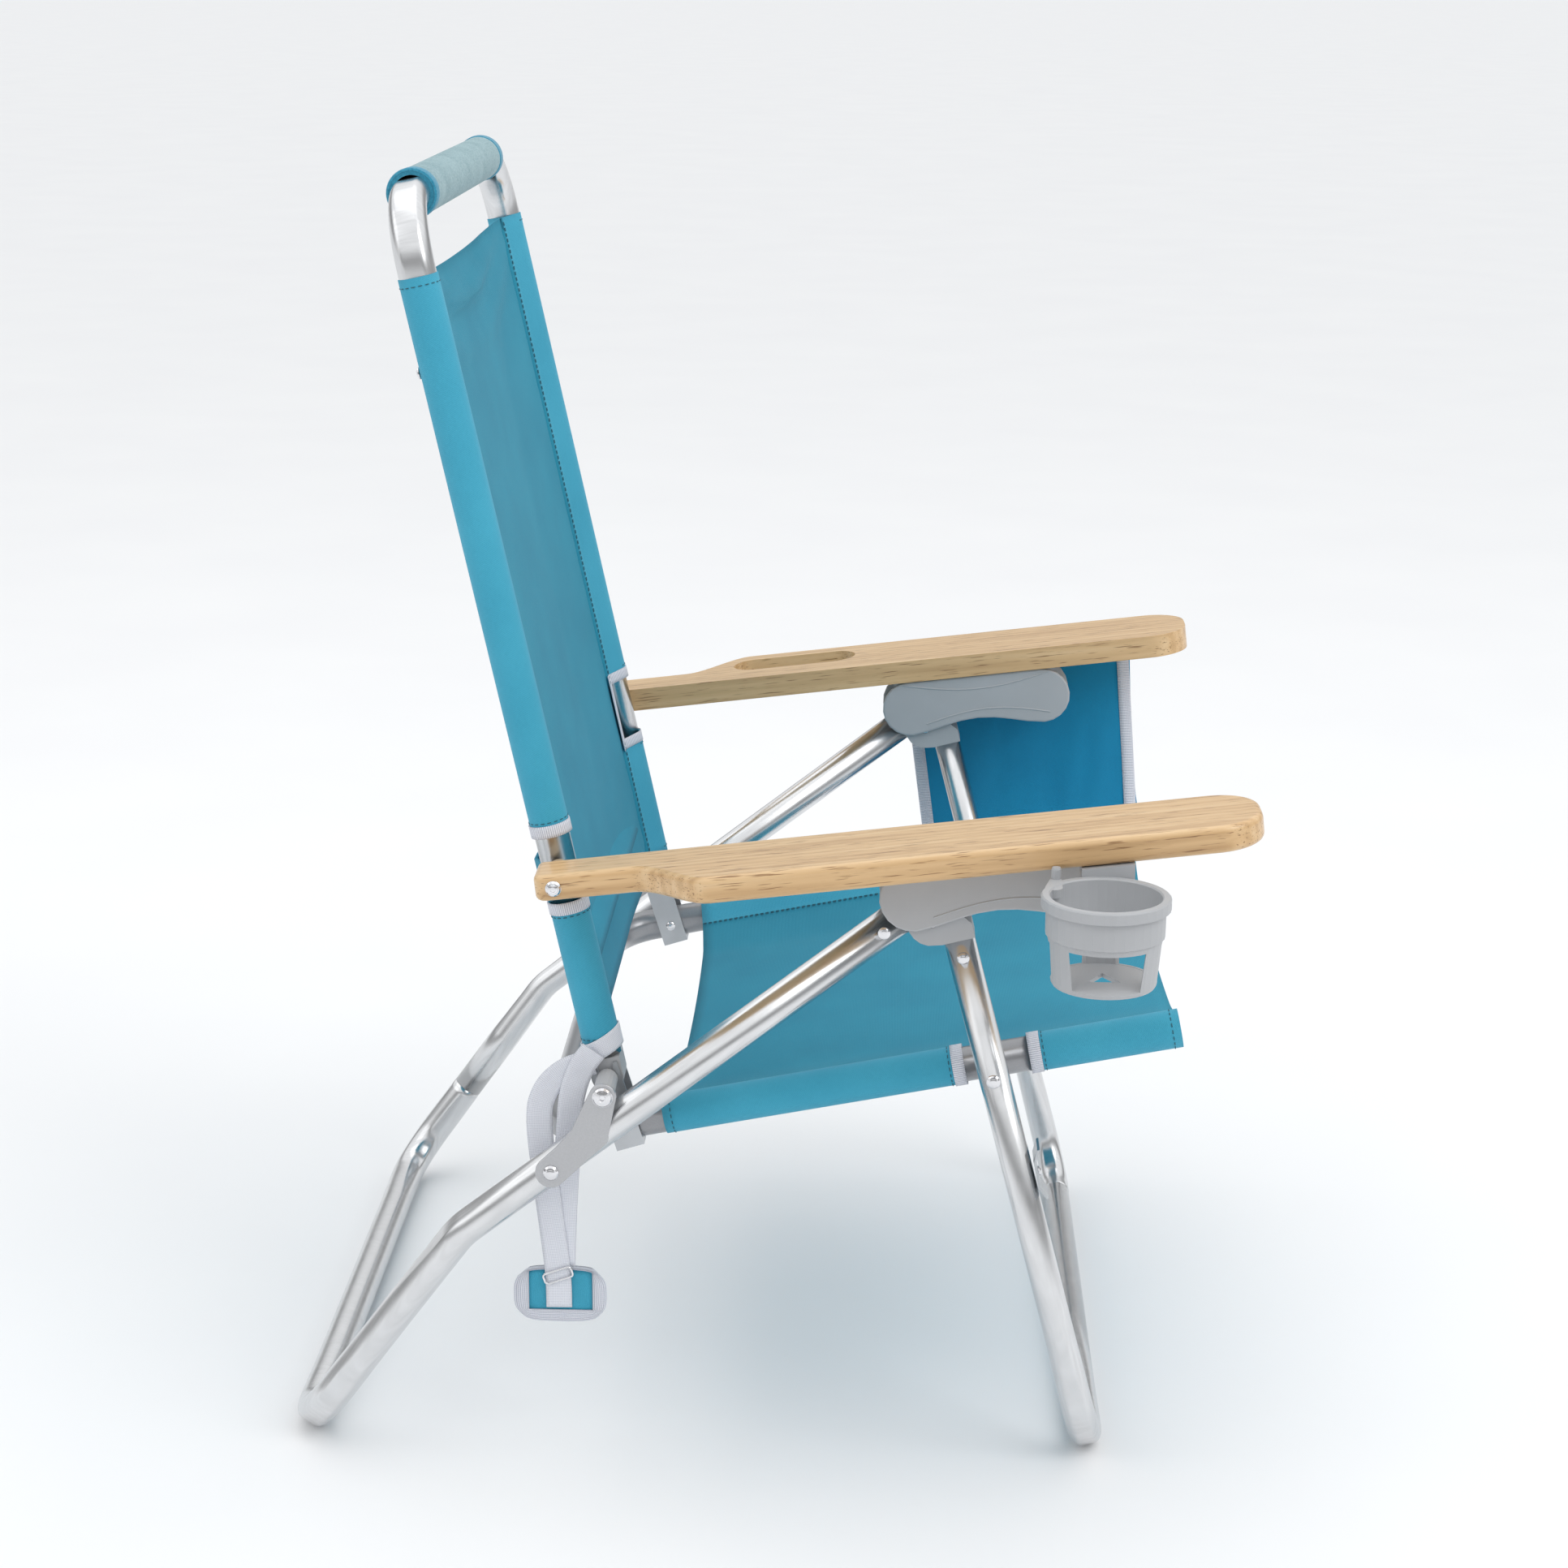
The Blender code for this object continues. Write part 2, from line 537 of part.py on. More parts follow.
def make_back_frame(tube_paint, foam, plastic, steel, webbing):
    low = 0.0145
    corners = [at(-SLING_X, *back_point(low)), at(-SLING_X, *back_point(BACK_LENGTH)),
               at(SLING_X, *back_point(BACK_LENGTH)), at(SLING_X, *back_point(low))]
    tube("back_tube", bend(corners, 0.050, 6), SEAT_TUBE, tube_paint)
    profile = [(SEAT_TUBE + GAP, -GRIP_HALF), (0.0160, -GRIP_HALF), (0.0172, 0.0015 - GRIP_HALF),
               (0.0172, GRIP_HALF - 0.0015), (0.0160, GRIP_HALF), (SEAT_TUBE + GAP, GRIP_HALF)]
    turned("handle_grip", profile, at(0, *back_point(BACK_LENGTH)), Vector((1, 0, 0)), foam, 24,
           closed=True)
    for name, side in SIDES:
        outline = [*arc(BACK_PIVOT, 0.0118, BACK_ANGLE * 180 / pi + 95, BACK_ANGLE * 180 / pi + 265, 10),
                   back_point(low - GAP, -0.0118), back_point(low - GAP, 0.0118)]
        end = side_prism(f"back_tube_end_{name}", outline, side * SLING_X - 0.0122,
                         side * SLING_X + 0.0122, plastic, [circle(BACK_PIVOT, 0.0036 + GAP)])
        start = at(side * SLING_X, *back_point(low - 0.003))
        radius = SEAT_TUBE - WALL - 2 * GAP
        boolean(end, plug_pin(f"back_end_plug_{name}", start, direction(BACK_ANGLE), radius, 0.02,
                              plastic), "UNION")
        top = back_point(0.523)
        rear = at(side * SLING_X, *along(top, BACK_ANGLE, 0, SEAT_TUBE + GAP + CLOTH + GAP))
        turned(f"sleeve_screw_{name}", [(0, 0), (0.0042, 0), (0.0042, 0.0008), (0.0026, 0.0018),
                                        (0, 0.0020)], rear, direction(BACK_ANGLE + pi / 2), steel, 16)
    wrap_low, wrap_high = 0.0170, BACK_SLEEVE - 0.0005
    profile = [(SEAT_TUBE + GAP, wrap_low), (0.0150, wrap_low), (0.0150, wrap_high),
               (SEAT_TUBE + GAP, wrap_high)]
    turned("strap_wrap", profile, at(-SLING_X, *BACK_PIVOT), direction(BACK_ANGLE), webbing, 20,
           closed=True)


def make_rear_pouch(cloth):
    """Pocket behind the back, open at the top."""
    outline = [back_point(0.060, 0.0165), back_point(0.145, 0.0165), back_point(0.145, 0.0260),
               back_point(0.120, 0.0310), back_point(0.075, 0.0310)]
    inside = [back_point(0.063, 0.0180), back_point(0.160, 0.0180), back_point(0.160, 0.0215),
              back_point(0.119, 0.0295), back_point(0.077, 0.0295)]
    half = 0.190
    pouch = side_prism("rear_pouch", outline, -half, half, cloth)
    wall = 0.002
    boolean(pouch, side_prism("rear_pouch_inside", inside, wall - half, half - wall, cloth),
            "DIFFERENCE")


# Armrests

def arm_point(distance, lift=0.0):
    return along(ARM_PIVOT, ARM_TILT, distance, lift)


def s_curve(share):
    return share * share * (3 - 2 * share)


def make_armrests(wood, steel):
    normal = direction(ARM_TILT + pi / 2)
    grain = direction(ARM_TILT)
    tip_r = 0.034
    tail_r = 0.008
    steps = 10
    outer = [(0.055 + 0.057 * k / steps, ARM_NECK + (ARM_OUTER - ARM_NECK) * s_curve(k / steps))
             for k in range(steps + 1)]
    outline = [(ARM_TAIL, ARM_INNER), *arc((ARM_TIP - tip_r, ARM_INNER + tip_r), tip_r, -90, 0, 6),
               *arc((ARM_TIP - tip_r, ARM_OUTER - tip_r), tip_r, 0, 90, 6), *reversed(outer),
               *arc((ARM_TAIL + tail_r, ARM_NECK - tail_r), tail_r, 90, 180, 3)]
    slot_x = 0.308
    slot_r = 0.0195
    slot = (arc((0.205 - slot_r, slot_x), slot_r, -90, 90, 8)
            + arc((0.0975 + slot_r, slot_x), slot_r, 90, 270, 8))
    for name, side in SIDES:
        base = at(0, *arm_point(0, -ARM_THICK / 2))
        holes = [slot] if side > 0 else []
        arm = prism(f"armrest_{name}", outline, base, grain, Vector((side, 0, 0)),
                    normal * ARM_THICK, wood, holes)
        bore = turned(f"arm_bore_{name}", [(0, -0.01), (0.0035, -0.01), (0.0035, 0.06), (0, 0.06)],
                      at(side * ARM_INNER, *ARM_PIVOT), Vector((side, 0, 0)), steel, 12)
        boolean(arm, bore, "DIFFERENCE")
        bevel(arm, 0.0035, 3)
        length = ARM_NECK + GAP - (SLING_X + SEAT_TUBE + GAP)
        profile = [(0, -length), (0.0030, -length), (0.0030, 0), (0.0055, 0), (0.0055, 0.0010),
                   (0.0044, 0.0024), (0.0025, 0.0031), (0, 0.0033)]
        turned(f"arm_bolt_{name}", profile, at(side * (ARM_NECK + GAP), *ARM_PIVOT),
               Vector((side, 0, 0)), steel, 20)


def to_arm(point):
    """Distance along the armrest and lift above its middle, of a side-view point."""
    ahead, above = point[0] - ARM_PIVOT[0], point[1] - ARM_PIVOT[1]
    return (ahead * cos(ARM_TILT) + above * sin(ARM_TILT),
            above * cos(ARM_TILT) - ahead * sin(ARM_TILT))


def make_housings(plastic):
    rear, pin_lift = to_arm(LOCK_PIN)
    rear_lobe = arm_point(rear, pin_lift)
    front_lobe = arm_point(rear + TRACK, pin_lift + 0.0002)
    tilt = ARM_TILT * 180 / pi
    bottom = []
    for k in range(1, 8):
        share = k / 8
        rise = 0.0098 * sin(pi * share) ** 1.5
        bottom.append(arm_point(rear + TRACK * share, pin_lift - HOUSING_R + rise))
    top_angle = asin(min(1.0, (ARM_UNDER - pin_lift) / HOUSING_R)) * 180 / pi
    outline = [*arc(rear_lobe, HOUSING_R, tilt + 180 - top_angle, tilt + 270, 10), *bottom,
               *arc(front_lobe, HOUSING_R, tilt - 90, tilt + top_angle, 10)]
    rack = [arm_point(rear - 0.012, ARM_UNDER), *rack_profile(rear, pin_lift),
            arm_point(rear + TRACK + 0.012, ARM_UNDER)]
    for name, side in SIDES:
        outer = side_prism(f"housing_outer_{name}", outline, side * CAVITY_OUT, side * SHELL_OUT, plastic)
        bevel(outer, 0.0015, 2)
        inner = side_prism(f"housing_inner_{name}", outline, side * SHELL_IN, side * CAVITY_IN, plastic)
        bevel(inner, 0.0015, 2)
        teeth = side_prism(f"lock_rack_{name}", rack, side * (CAVITY_IN - 0.002),
                           side * (CAVITY_OUT - GAP), plastic)
        boolean(inner, teeth, "UNION")


def rack_profile(rear, pin_lift):
    """Underside of the rack: shallow notches over the stretch that the lock pin travels."""
    clear = pin_lift + 0.0078
    depth = 0.0022
    points = [arm_point(rear - 0.012, clear + depth)]
    count = 5
    pitch = TRACK / (count - 1)
    for k in range(count):
        centre = rear + pitch * k
        points += [arm_point(centre - 0.006, clear + depth), arm_point(centre + 0.006, clear + depth)]
        if k < count - 1:
            points += [arm_point(centre + 0.009, clear), arm_point(centre + pitch - 0.009, clear)]
    points.append(arm_point(rear + TRACK + 0.012, clear + depth))
    return points


# Cup holder and side pouch

def make_cup_holder(plastic, steel):
    centre = at(-CUP_X, CUP_FORWARD, 0)
    up = Vector((0, 0, 1))
    floor = CUP_TOP - 0.062
    profile = [(0, floor), (0.0345, floor), (0.0356, floor + 0.002), (0.0385, CUP_TOP - 0.028),
               (0.0400, CUP_TOP - 0.027), (0.0402, CUP_TOP - 0.0085), (CUP_RIM, CUP_TOP - 0.008),
               (CUP_RIM, CUP_TOP - 0.001), (0.0425, CUP_TOP), (0.0385, CUP_TOP),
               (0.0375, CUP_TOP - 0.001), (0.0335, floor + 0.003), (0, floor + 0.003)]
    cup = turned("cup_holder", profile, centre, up, plastic, 36)
    window_top = CUP_TOP - 0.0315
    window_low = floor + 0.0032
    for index, angle in enumerate((180, 60, -60)):
        turn = radians(angle)
        out = Vector((cos(turn), sin(turn), 0))
        across = Vector((-sin(turn), cos(turn), 0))
        half = 0.0255
        corners = [(-half * 0.88, window_low), (half * 0.88, window_low), (half, window_top),
                   (-half, window_top)]
        window = prism(f"cup_window_{index}", corners, centre + out * 0.012, across, up, out * 0.04,
                       plastic)
        boolean(cup, window, "DIFFERENCE")
    triangle = [(0.013 * cos(radians(a)), 0.013 * sin(radians(a))) for a in (0, 120, 240)]
    hole = prism("cup_floor_hole", triangle, centre + up * (floor - 0.01), Vector((1, 0, 0)),
                 Vector((0, 1, 0)), up * 0.02, plastic)
    boolean(cup, hole, "DIFFERENCE")
    # Tab under the armrest, and the stop peg beside the rim
    tab_top = []
    for forward in (CUP_FORWARD - 0.014, CUP_FORWARD + 0.022):
        under = ARM_PIVOT[1] + (forward - ARM_PIVOT[0]) * tan(ARM_TILT) + (ARM_UNDER - GAP) / cos(ARM_TILT)
        tab_top.append((forward, under))
    outline = [(CUP_FORWARD - 0.014, CUP_TOP - 0.007), (CUP_FORWARD + 0.022, CUP_TOP - 0.007),
               tab_top[1], tab_top[0]]
    tab = side_prism("cup_tab", outline, -CUP_X + CUP_RIM - 0.002, -CUP_SWIVEL_X + 0.010, plastic)
    boolean(cup, tab, "UNION")
    peg_at = (-ARM_OUTER - GAP - 0.0038, 0.5405)
    lug = capsule(peg_at, 0.0036, (-CUP_X + 0.018, CUP_FORWARD - 0.034), 0.006)
    boolean(cup, prism("cup_lug", lug, at(0, 0, CUP_TOP - 0.007), Vector((1, 0, 0)),
                       Vector((0, -1, 0)), up * 0.006, plastic), "UNION")
    peg = turned("cup_peg", [(0, 0), (0.0034, 0), (0.0034, 0.0120), (0.0028, 0.0135), (0, 0.0135)],
                 at(*peg_at, CUP_TOP - 0.0065), up, plastic, 12)
    boolean(cup, peg, "UNION")
    swivel = at(-CUP_SWIVEL_X, CUP_SWIVEL, CUP_TOP - 0.007)
    axis = direction(ARM_TILT + pi / 2)
    bore = turned("cup_bore", [(0, -0.01), (0.0028, -0.01), (0.0028, 0.03), (0, 0.03)], swivel, axis,
                  plastic, 12)
    boolean(cup, bore, "DIFFERENCE")
    head = swivel - axis * 0.0012
    turned("cup_screw", [(0, -0.0018), (0.0050, -0.0018), (0.0050, 0), (0.0024, 0), (0.0024, 0.006),
                         (0, 0.006)], head, axis, steel, 16)


def make_side_pouch(cloth):
    """Flat pocket under the left armrest; its outer wall ends lower, which leaves the mouth."""
    near, far = 0.318, 0.328
    wall = 0.0015
    outline = [arm_point(0.245, ARM_UNDER), arm_point(0.445, ARM_UNDER), (0.650, 0.340),
               (0.640, 0.318), (0.478, 0.300), (0.455, 0.322)]
    pouch = side_prism("side_pouch", outline, near, far, cloth)
    inside = [arm_point(0.248, 0.01), arm_point(0.442, 0.01), (0.6475, 0.341), (0.6385, 0.3205),
              (0.479, 0.3025), (0.4575, 0.323)]
    boolean(pouch, side_prism("side_pouch_inside", inside, near + wall, far - wall, cloth),
            "DIFFERENCE")
    mouth = [arm_point(0.24, -0.028), arm_point(0.45, -0.028), arm_point(0.45, 0.01),
             arm_point(0.24, 0.01)]
    boolean(pouch, side_prism("side_pouch_mouth", mouth, far - wall - GAP, far + 0.01, cloth),
            "DIFFERENCE")


# Carry strap

def ribbon(points, width):
    """Outline of a flat band through side-view points."""
    left, right = [], []
    for i, point in enumerate(points):
        ahead, behind = points[min(i + 1, len(points) - 1)], points[max(i - 1, 0)]
        angle = atan2(ahead[1] - behind[1], ahead[0] - behind[0])
        left.append(along(point, angle, 0, width / 2))
        right.append(along(point, angle, 0, -width / 2))
    return left + right[::-1]


def make_strap(webbing, cloth, steel):
    width = 0.019
    front = [(0.2095, 0.2960), (0.2030, 0.2790), (0.1985, 0.2550), (0.1975, 0.2000), (0.1955, 0.1110)]
    rear = [(0.1960, 0.2950), (0.1800, 0.2740), (0.1775, 0.2520), (0.1815, 0.2000), (0.1865, 0.1445)]
    side_prism("strap_front_run", ribbon(front, width), -STRAP_X - 0.0014, -STRAP_X - 0.0002, webbing)
    side_prism("strap_rear_run", ribbon(rear, width), -STRAP_X + 0.0002, -STRAP_X + 0.0014, webbing)
    low, high = 0.1320, 0.1420
    frame = [(0.1815, low), (0.2055, low), (0.2055, high), (0.1815, high)]
    window = [(0.1835, low + 0.0035), (0.2035, low + 0.0035), (0.2035, high - 0.0035),
              (0.1835, high - 0.0035)]
    side_prism("strap_slider", frame, -STRAP_X - 0.0032, -STRAP_X - 0.0018, steel, [window])
    pad = [*arc((0.2125, 0.1305), 0.012, 0, 90, 4), *arc((0.1675, 0.1305), 0.012, 90, 180, 4),
           *arc((0.1675, 0.1090), 0.012, 180, 270, 4), *arc((0.2125, 0.1090), 0.012, 270, 360, 4)]
    side_prism("strap_pad", pad, -STRAP_X, -STRAP_X + 0.0040, cloth)


def main():
    for old in list(bpy.data.objects):
        bpy.data.objects.remove(old, do_unlink=True)
    paint = make_materials()
    make_rear_loop(paint["polished_tube"])
    make_front_loop(paint["polished_tube"])
    make_leg_caps(paint["grey_plastic"], paint["rivet_steel"])
    make_bottle_opener(paint["bright_steel"], paint["rivet_steel"])
    make_link_plates(paint["grey_paint"], paint["rivet_steel"], paint["grey_plastic"])
    make_seat_frame(paint["grey_paint"], paint["bright_steel"], paint["rivet_steel"],
                    paint["grey_plastic"])
    sling("seat_sling", SEAT_PIVOT, SEAT_TILT, -0.242, 0.138, [(-0.020, 0.028, SLING_X - 0.012)],
          paint["teal_cloth"])
    make_back_frame(paint["polished_tube"], paint["foam"], paint["grey_plastic"],
                    paint["rivet_steel"], paint["webbing"])
    sling("back_sling", BACK_PIVOT, BACK_ANGLE, BACK_HEM, 0.588,
          [(0, BACK_SLEEVE, SLING_X - 0.0155), (0.135, 0.185, SLING_X - 0.012)], paint["teal_cloth"])
    make_rear_pouch(paint["teal_cloth"])
    make_armrests(paint["oak"], paint["rivet_steel"])
    make_housings(paint["grey_plastic"])
    make_cup_holder(paint["grey_plastic"], paint["rivet_steel"])
    make_side_pouch(paint["pouch_cloth"])
    make_strap(paint["webbing"], paint["teal_cloth"], paint["bright_steel"])


main()
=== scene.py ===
"""Looks for the folding beach chair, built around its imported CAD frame.

Units are metres. The chair faces -Y and X runs across it. Side views are drawn in (forward, up),
with forward 0 at the rear floor tube. Positions come from the frame's joints and boxes.
"""
import json
from math import acos, atan2, cos, pi, radians, sin, sqrt, tan

import bmesh
import bpy
from mathutils import Matrix, Vector


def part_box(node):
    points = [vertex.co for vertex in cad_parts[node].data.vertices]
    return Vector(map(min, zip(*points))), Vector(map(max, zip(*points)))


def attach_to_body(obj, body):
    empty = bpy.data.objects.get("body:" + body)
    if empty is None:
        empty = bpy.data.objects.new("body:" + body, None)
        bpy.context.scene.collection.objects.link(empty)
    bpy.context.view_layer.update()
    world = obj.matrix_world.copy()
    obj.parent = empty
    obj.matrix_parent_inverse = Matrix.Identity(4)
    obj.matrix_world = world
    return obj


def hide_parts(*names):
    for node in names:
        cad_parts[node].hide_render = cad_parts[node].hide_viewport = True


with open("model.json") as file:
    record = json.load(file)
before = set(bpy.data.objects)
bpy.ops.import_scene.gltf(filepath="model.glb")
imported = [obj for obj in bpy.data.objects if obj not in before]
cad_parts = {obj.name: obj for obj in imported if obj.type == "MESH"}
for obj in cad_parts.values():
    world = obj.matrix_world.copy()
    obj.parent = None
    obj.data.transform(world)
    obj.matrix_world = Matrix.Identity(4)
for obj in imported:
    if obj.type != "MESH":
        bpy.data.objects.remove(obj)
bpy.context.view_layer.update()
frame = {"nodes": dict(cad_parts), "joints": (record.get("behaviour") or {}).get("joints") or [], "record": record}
JOINTS = {joint["name"]: Vector(joint["pos_m"]) for joint in frame["joints"]}

# Driving dimensions, as in the CAD
REAR_TUBE = 0.0127
FRONT_TUBE = 0.0111
SEAT_TUBE = 0.0127
LEG_X = 0.278
REAR_FOOT_X = 0.2645
FRONT_FOOT_X = 0.271
SLING_X = 0.241
REAR_KNEE = (0.120, 0.178)
REAR_TOP = (0.4345, 0.4231)
FRONT_TOP = (0.4772, 0.4101)
FRONT_FOOT = 0.582
SEAT_TILT = radians(11.3)
BACK_ANGLE = pi / 2 + radians(12.46)
ARM_TILT = radians(6.96)
ARM_THICK = 0.019
ARM_INNER = 0.2575
ARM_NECK = 0.2975
ARM_OUTER = 0.3425
ARM_TAIL = -0.014
ARM_TIP = 0.494
BACK_LENGTH = 0.640
BACK_START = 0.0145
SEAT_REAR = -0.323
SEAT_FRONT = 0.130
STRAP_X = 0.2588
GRIP_HALF = 0.187
WEBBING = 0.019

SLEEVE_R = 0.0137                 # middle of the cloth around a side tube
SEAM = 0.024                      # from a side tube's middle to the seam that closes its sleeve
SHEET = 0.0008                    # cloth thickness
CLOTH_FRAMES = 18                 # enough for the slings and the bag to settle
POCKET_COLUMNS = 28               # steps across one wall of the side bag
POCKET_LEVELS = 18                # steps down it

# Bend radii of the tubes' middle lines
KNEE_BEND = 0.060
REAR_BEND = 0.042
FRONT_BEND = 0.040
SEAT_BEND = 0.038
BACK_BEND = 0.050

# Camera, solved from the photograph
CAMERA_AT = (-2.3363, -0.0871, 1.0885)
CAMERA_TOWARDS = (0.96474, 0.0321, -0.2613)
CAMERA_ROLL = radians(0.454)
CAMERA_LENS = 71.74

# Studio: brightness of the sky by height, and the lamps (name, place, size, power in watts)
SKY_STRENGTH = 1.12
SKY = ((0, 0.85), (0.08, 0.36), (0.22, 0.28), (0.44, 0.92), (1, 1))
LAMPS = (("key", (-1.6, -2.2, 2.9), 2.0, 30), ("fill", (-1.0, 2.6, 2.2), 2.6, 8),
         ("top", (0.6, 0.2, 3.4), 2.8, 12))
LAMPS_AIM = Vector((0, 0, 0.45))
FLOOR_HALF = 300

MIDDLE = JOINTS["fold"].x
REAR_LINE = JOINTS["fold"].y + 0.458
SIDES = (("right", -1), ("left", 1))


def side_view(joint):
    """(forward, up) of a joint."""
    return REAR_LINE - JOINTS[joint].y, JOINTS[joint].z


SEAT_PIVOT = side_view("seat_hang")
BACK_PIVOT = side_view("recline")
ARM_PIVOT = side_view("arm_fold")


def at(across, forward, up):
    return Vector((MIDDLE + across, REAR_LINE - forward, up))


def along(start, angle, distance, lift=0.0):
    """Side-view point: distance along a direction from start, and lift square to it."""
    return (start[0] + distance * cos(angle) - lift * sin(angle),
            start[1] + distance * sin(angle) + lift * cos(angle))


def direction(angle):
    return Vector((0, -cos(angle), sin(angle)))


def seat_point(distance, lift=0.0):
    return along(SEAT_PIVOT, SEAT_TILT, distance, lift)


def back_point(distance, lift=0.0):
    return along(BACK_PIVOT, BACK_ANGLE, distance, lift)


def arm_point(distance, lift=0.0):
    return along(ARM_PIVOT, ARM_TILT, distance, lift)


def smooth(share):
    share = max(0.0, min(1.0, share))
    return share * share * (3 - 2 * share)


# Materials

class Shader:
    """A node material with short calls for the nodes that are used here."""

    def __init__(self, name, roughness, metallic=0.0, **constants):
        self.material = bpy.data.materials.new(name)
        self.material.use_nodes = True
        self.nodes = self.material.node_tree.nodes
        self.links = self.material.node_tree.links
        self.surface = self.nodes["Principled BSDF"]
        self.surface.inputs["Roughness"].default_value = roughness
        self.surface.inputs["Metallic"].default_value = metallic
        for key, value in constants.items():
            self.surface.inputs[key.replace("_", " ")].default_value = value

    def node(self, kind, inputs, **settings):
        made = self.nodes.new(kind)
        for key, value in settings.items():
            setattr(made, key, value)
        for key, value in inputs.items():
            if isinstance(value, bpy.types.NodeSocket):
                self.links.new(value, made.inputs[key])
            else:
                made.inputs[key].default_value = value
        return made

    def place(self, source="Object", scale=(1, 1, 1), turn=(0, 0, 0)):
        """Coordinates in metres, turned and then scaled."""
        where = self.node("ShaderNodeTexCoord", {}).outputs[source]
        rotated = self.node("ShaderNodeMapping", {"Vector": where, "Rotation": turn})
        return self.node("ShaderNodeMapping", {"Vector": rotated.outputs[0], "Scale": scale}).outputs[0]

    def noise(self, where, scale, detail=2.0):
        return self.node("ShaderNodeTexNoise", {"Vector": where, "Scale": scale, "Detail": detail}).outputs[0]

    def bands(self, where, period, axis="X", distortion=0.0):
        scale = 2 * pi / 20 / period
        return self.node("ShaderNodeTexWave", {"Vector": where, "Scale": scale, "Distortion": distortion},
                         bands_direction=axis).outputs["Fac"]

    def math(self, operation, one, other):
        return self.node("ShaderNodeMath", {0: one, 1: other}, operation=operation).outputs[0]

    def ramp(self, share, stops):
        made = self.node("ShaderNodeValToRGB", {"Fac": share})
        elements = made.color_ramp.elements
        while len(elements) < len(stops):
            elements.new(0.5)
        for element, (position, colour) in zip(elements, stops):
            element.position = position
            element.color = (*colour, 1)
        return made.outputs[0]

    def colour(self, socket):
        self.links.new(socket, self.surface.inputs["Base Color"])

    def roughness(self, share, low, high):
        spread = self.node("ShaderNodeMapRange", {"Value": share, "To Min": low, "To Max": high})
        self.links.new(spread.outputs[0], self.surface.inputs["Roughness"])

    def bump(self, height, distance, strength=1.0):
        made = self.node("ShaderNodeBump", {"Height": height, "Distance": distance, "Strength": strength})
        self.links.new(made.outputs[0], self.surface.inputs["Normal"])


def polished(name, tint, roughness):
    made = Shader(name, roughness, 1.0)
    drawn = made.place(scale=(60, 3, 3))
    streaks = made.noise(drawn, 12, 3)
    dark = tuple(value * 0.88 for value in tint)
    made.colour(made.ramp(streaks, [(0.3, dark), (0.7, tint)]))
    made.roughness(made.noise(made.place(), 45, 4), roughness * 0.7, roughness * 1.5)
    made.bump(streaks, 0.00004)
    return made.material


def painted(name, tint):
    made = Shader(name, 0.28, 0.55, Coat_Weight=0.35, Coat_Roughness=0.12)
    grain = made.noise(made.place(), 900, 3)
    made.colour(made.ramp(grain, [(0.35, tuple(value * 0.94 for value in tint)), (0.65, tint)]))
    made.bump(grain, 0.00003)
    return made.material


def moulded(name, tint):
    made = Shader(name, 0.45)
    fine = made.noise(made.place(), 2600, 2)
    broad = made.noise(made.place(), 22, 3)
    made.colour(made.ramp(broad, [(0.3, tuple(value * 0.93 for value in tint)), (0.7, tint)]))
    made.roughness(broad, 0.38, 0.52)
    made.bump(fine, 0.00006)
    return made.material


def woven(name, low, high, sheen, source="UV"):
    """Twill: fine diagonal ribs crossed by the warp, with a slightly heathered colour and painted shade that
    darkens the hollows between the ribs.
    """
    made = Shader(name, 0.85, Sheen_Weight=sheen, Sheen_Roughness=0.45)
    made.surface.inputs["Sheen Tint"].default_value = (0.75, 0.93, 1.0, 1)
    plain = made.place(source)
    twill = made.bands(made.place(source, turn=(0, 0, radians(52))), 0.00085)
    warp = made.bands(plain, 0.0009, "Y", 0.6)
    height = made.math("ADD", made.math("MULTIPLY", twill, 0.7), made.math("MULTIPLY", warp, 0.3))
    thread = made.noise(made.place(source, scale=(1, 7, 1)), 420, 2)
    cloud = made.noise(plain, 14, 3)
    # the rib height darkens the colour in the hollows as painted shade; thread and cloud are the yarn's own
    # heathered tone
    share = made.math("ADD", made.math("MULTIPLY", height, 0.34),
                      made.math("ADD", made.math("MULTIPLY", thread, 0.4), made.math("MULTIPLY", cloud, 0.3)))
    made.colour(made.ramp(share, [(0.25, low), (0.75, high)]))
    made.bump(height, 0.00022, 0.8)
    return made.material


def ribbed(name, low, high, period, ribs, depth):
    """Woven tape: ribs across its length, which runs along the second coordinate, and cords along it. Its colour
    turns darker and bluer in the hollows between ribs and cords, which is painted shade.
    """
    made = Shader(name, 0.8, Sheen_Weight=0.2)
    where = made.place("UV")
    across = made.math("MULTIPLY", made.bands(where, period, "Y", 0.15), ribs)
    cords = made.math("MULTIPLY", made.bands(where, 0.0011, "X", 0.3), 1 - ribs)
    height = made.math("ADD", across, cords)
    # colour follows the relief, so the low colour in the hollows is painted shade
    made.colour(made.ramp(height, [(0.1, low), (0.7, high)]))
    made.bump(height, depth)
    return made.material


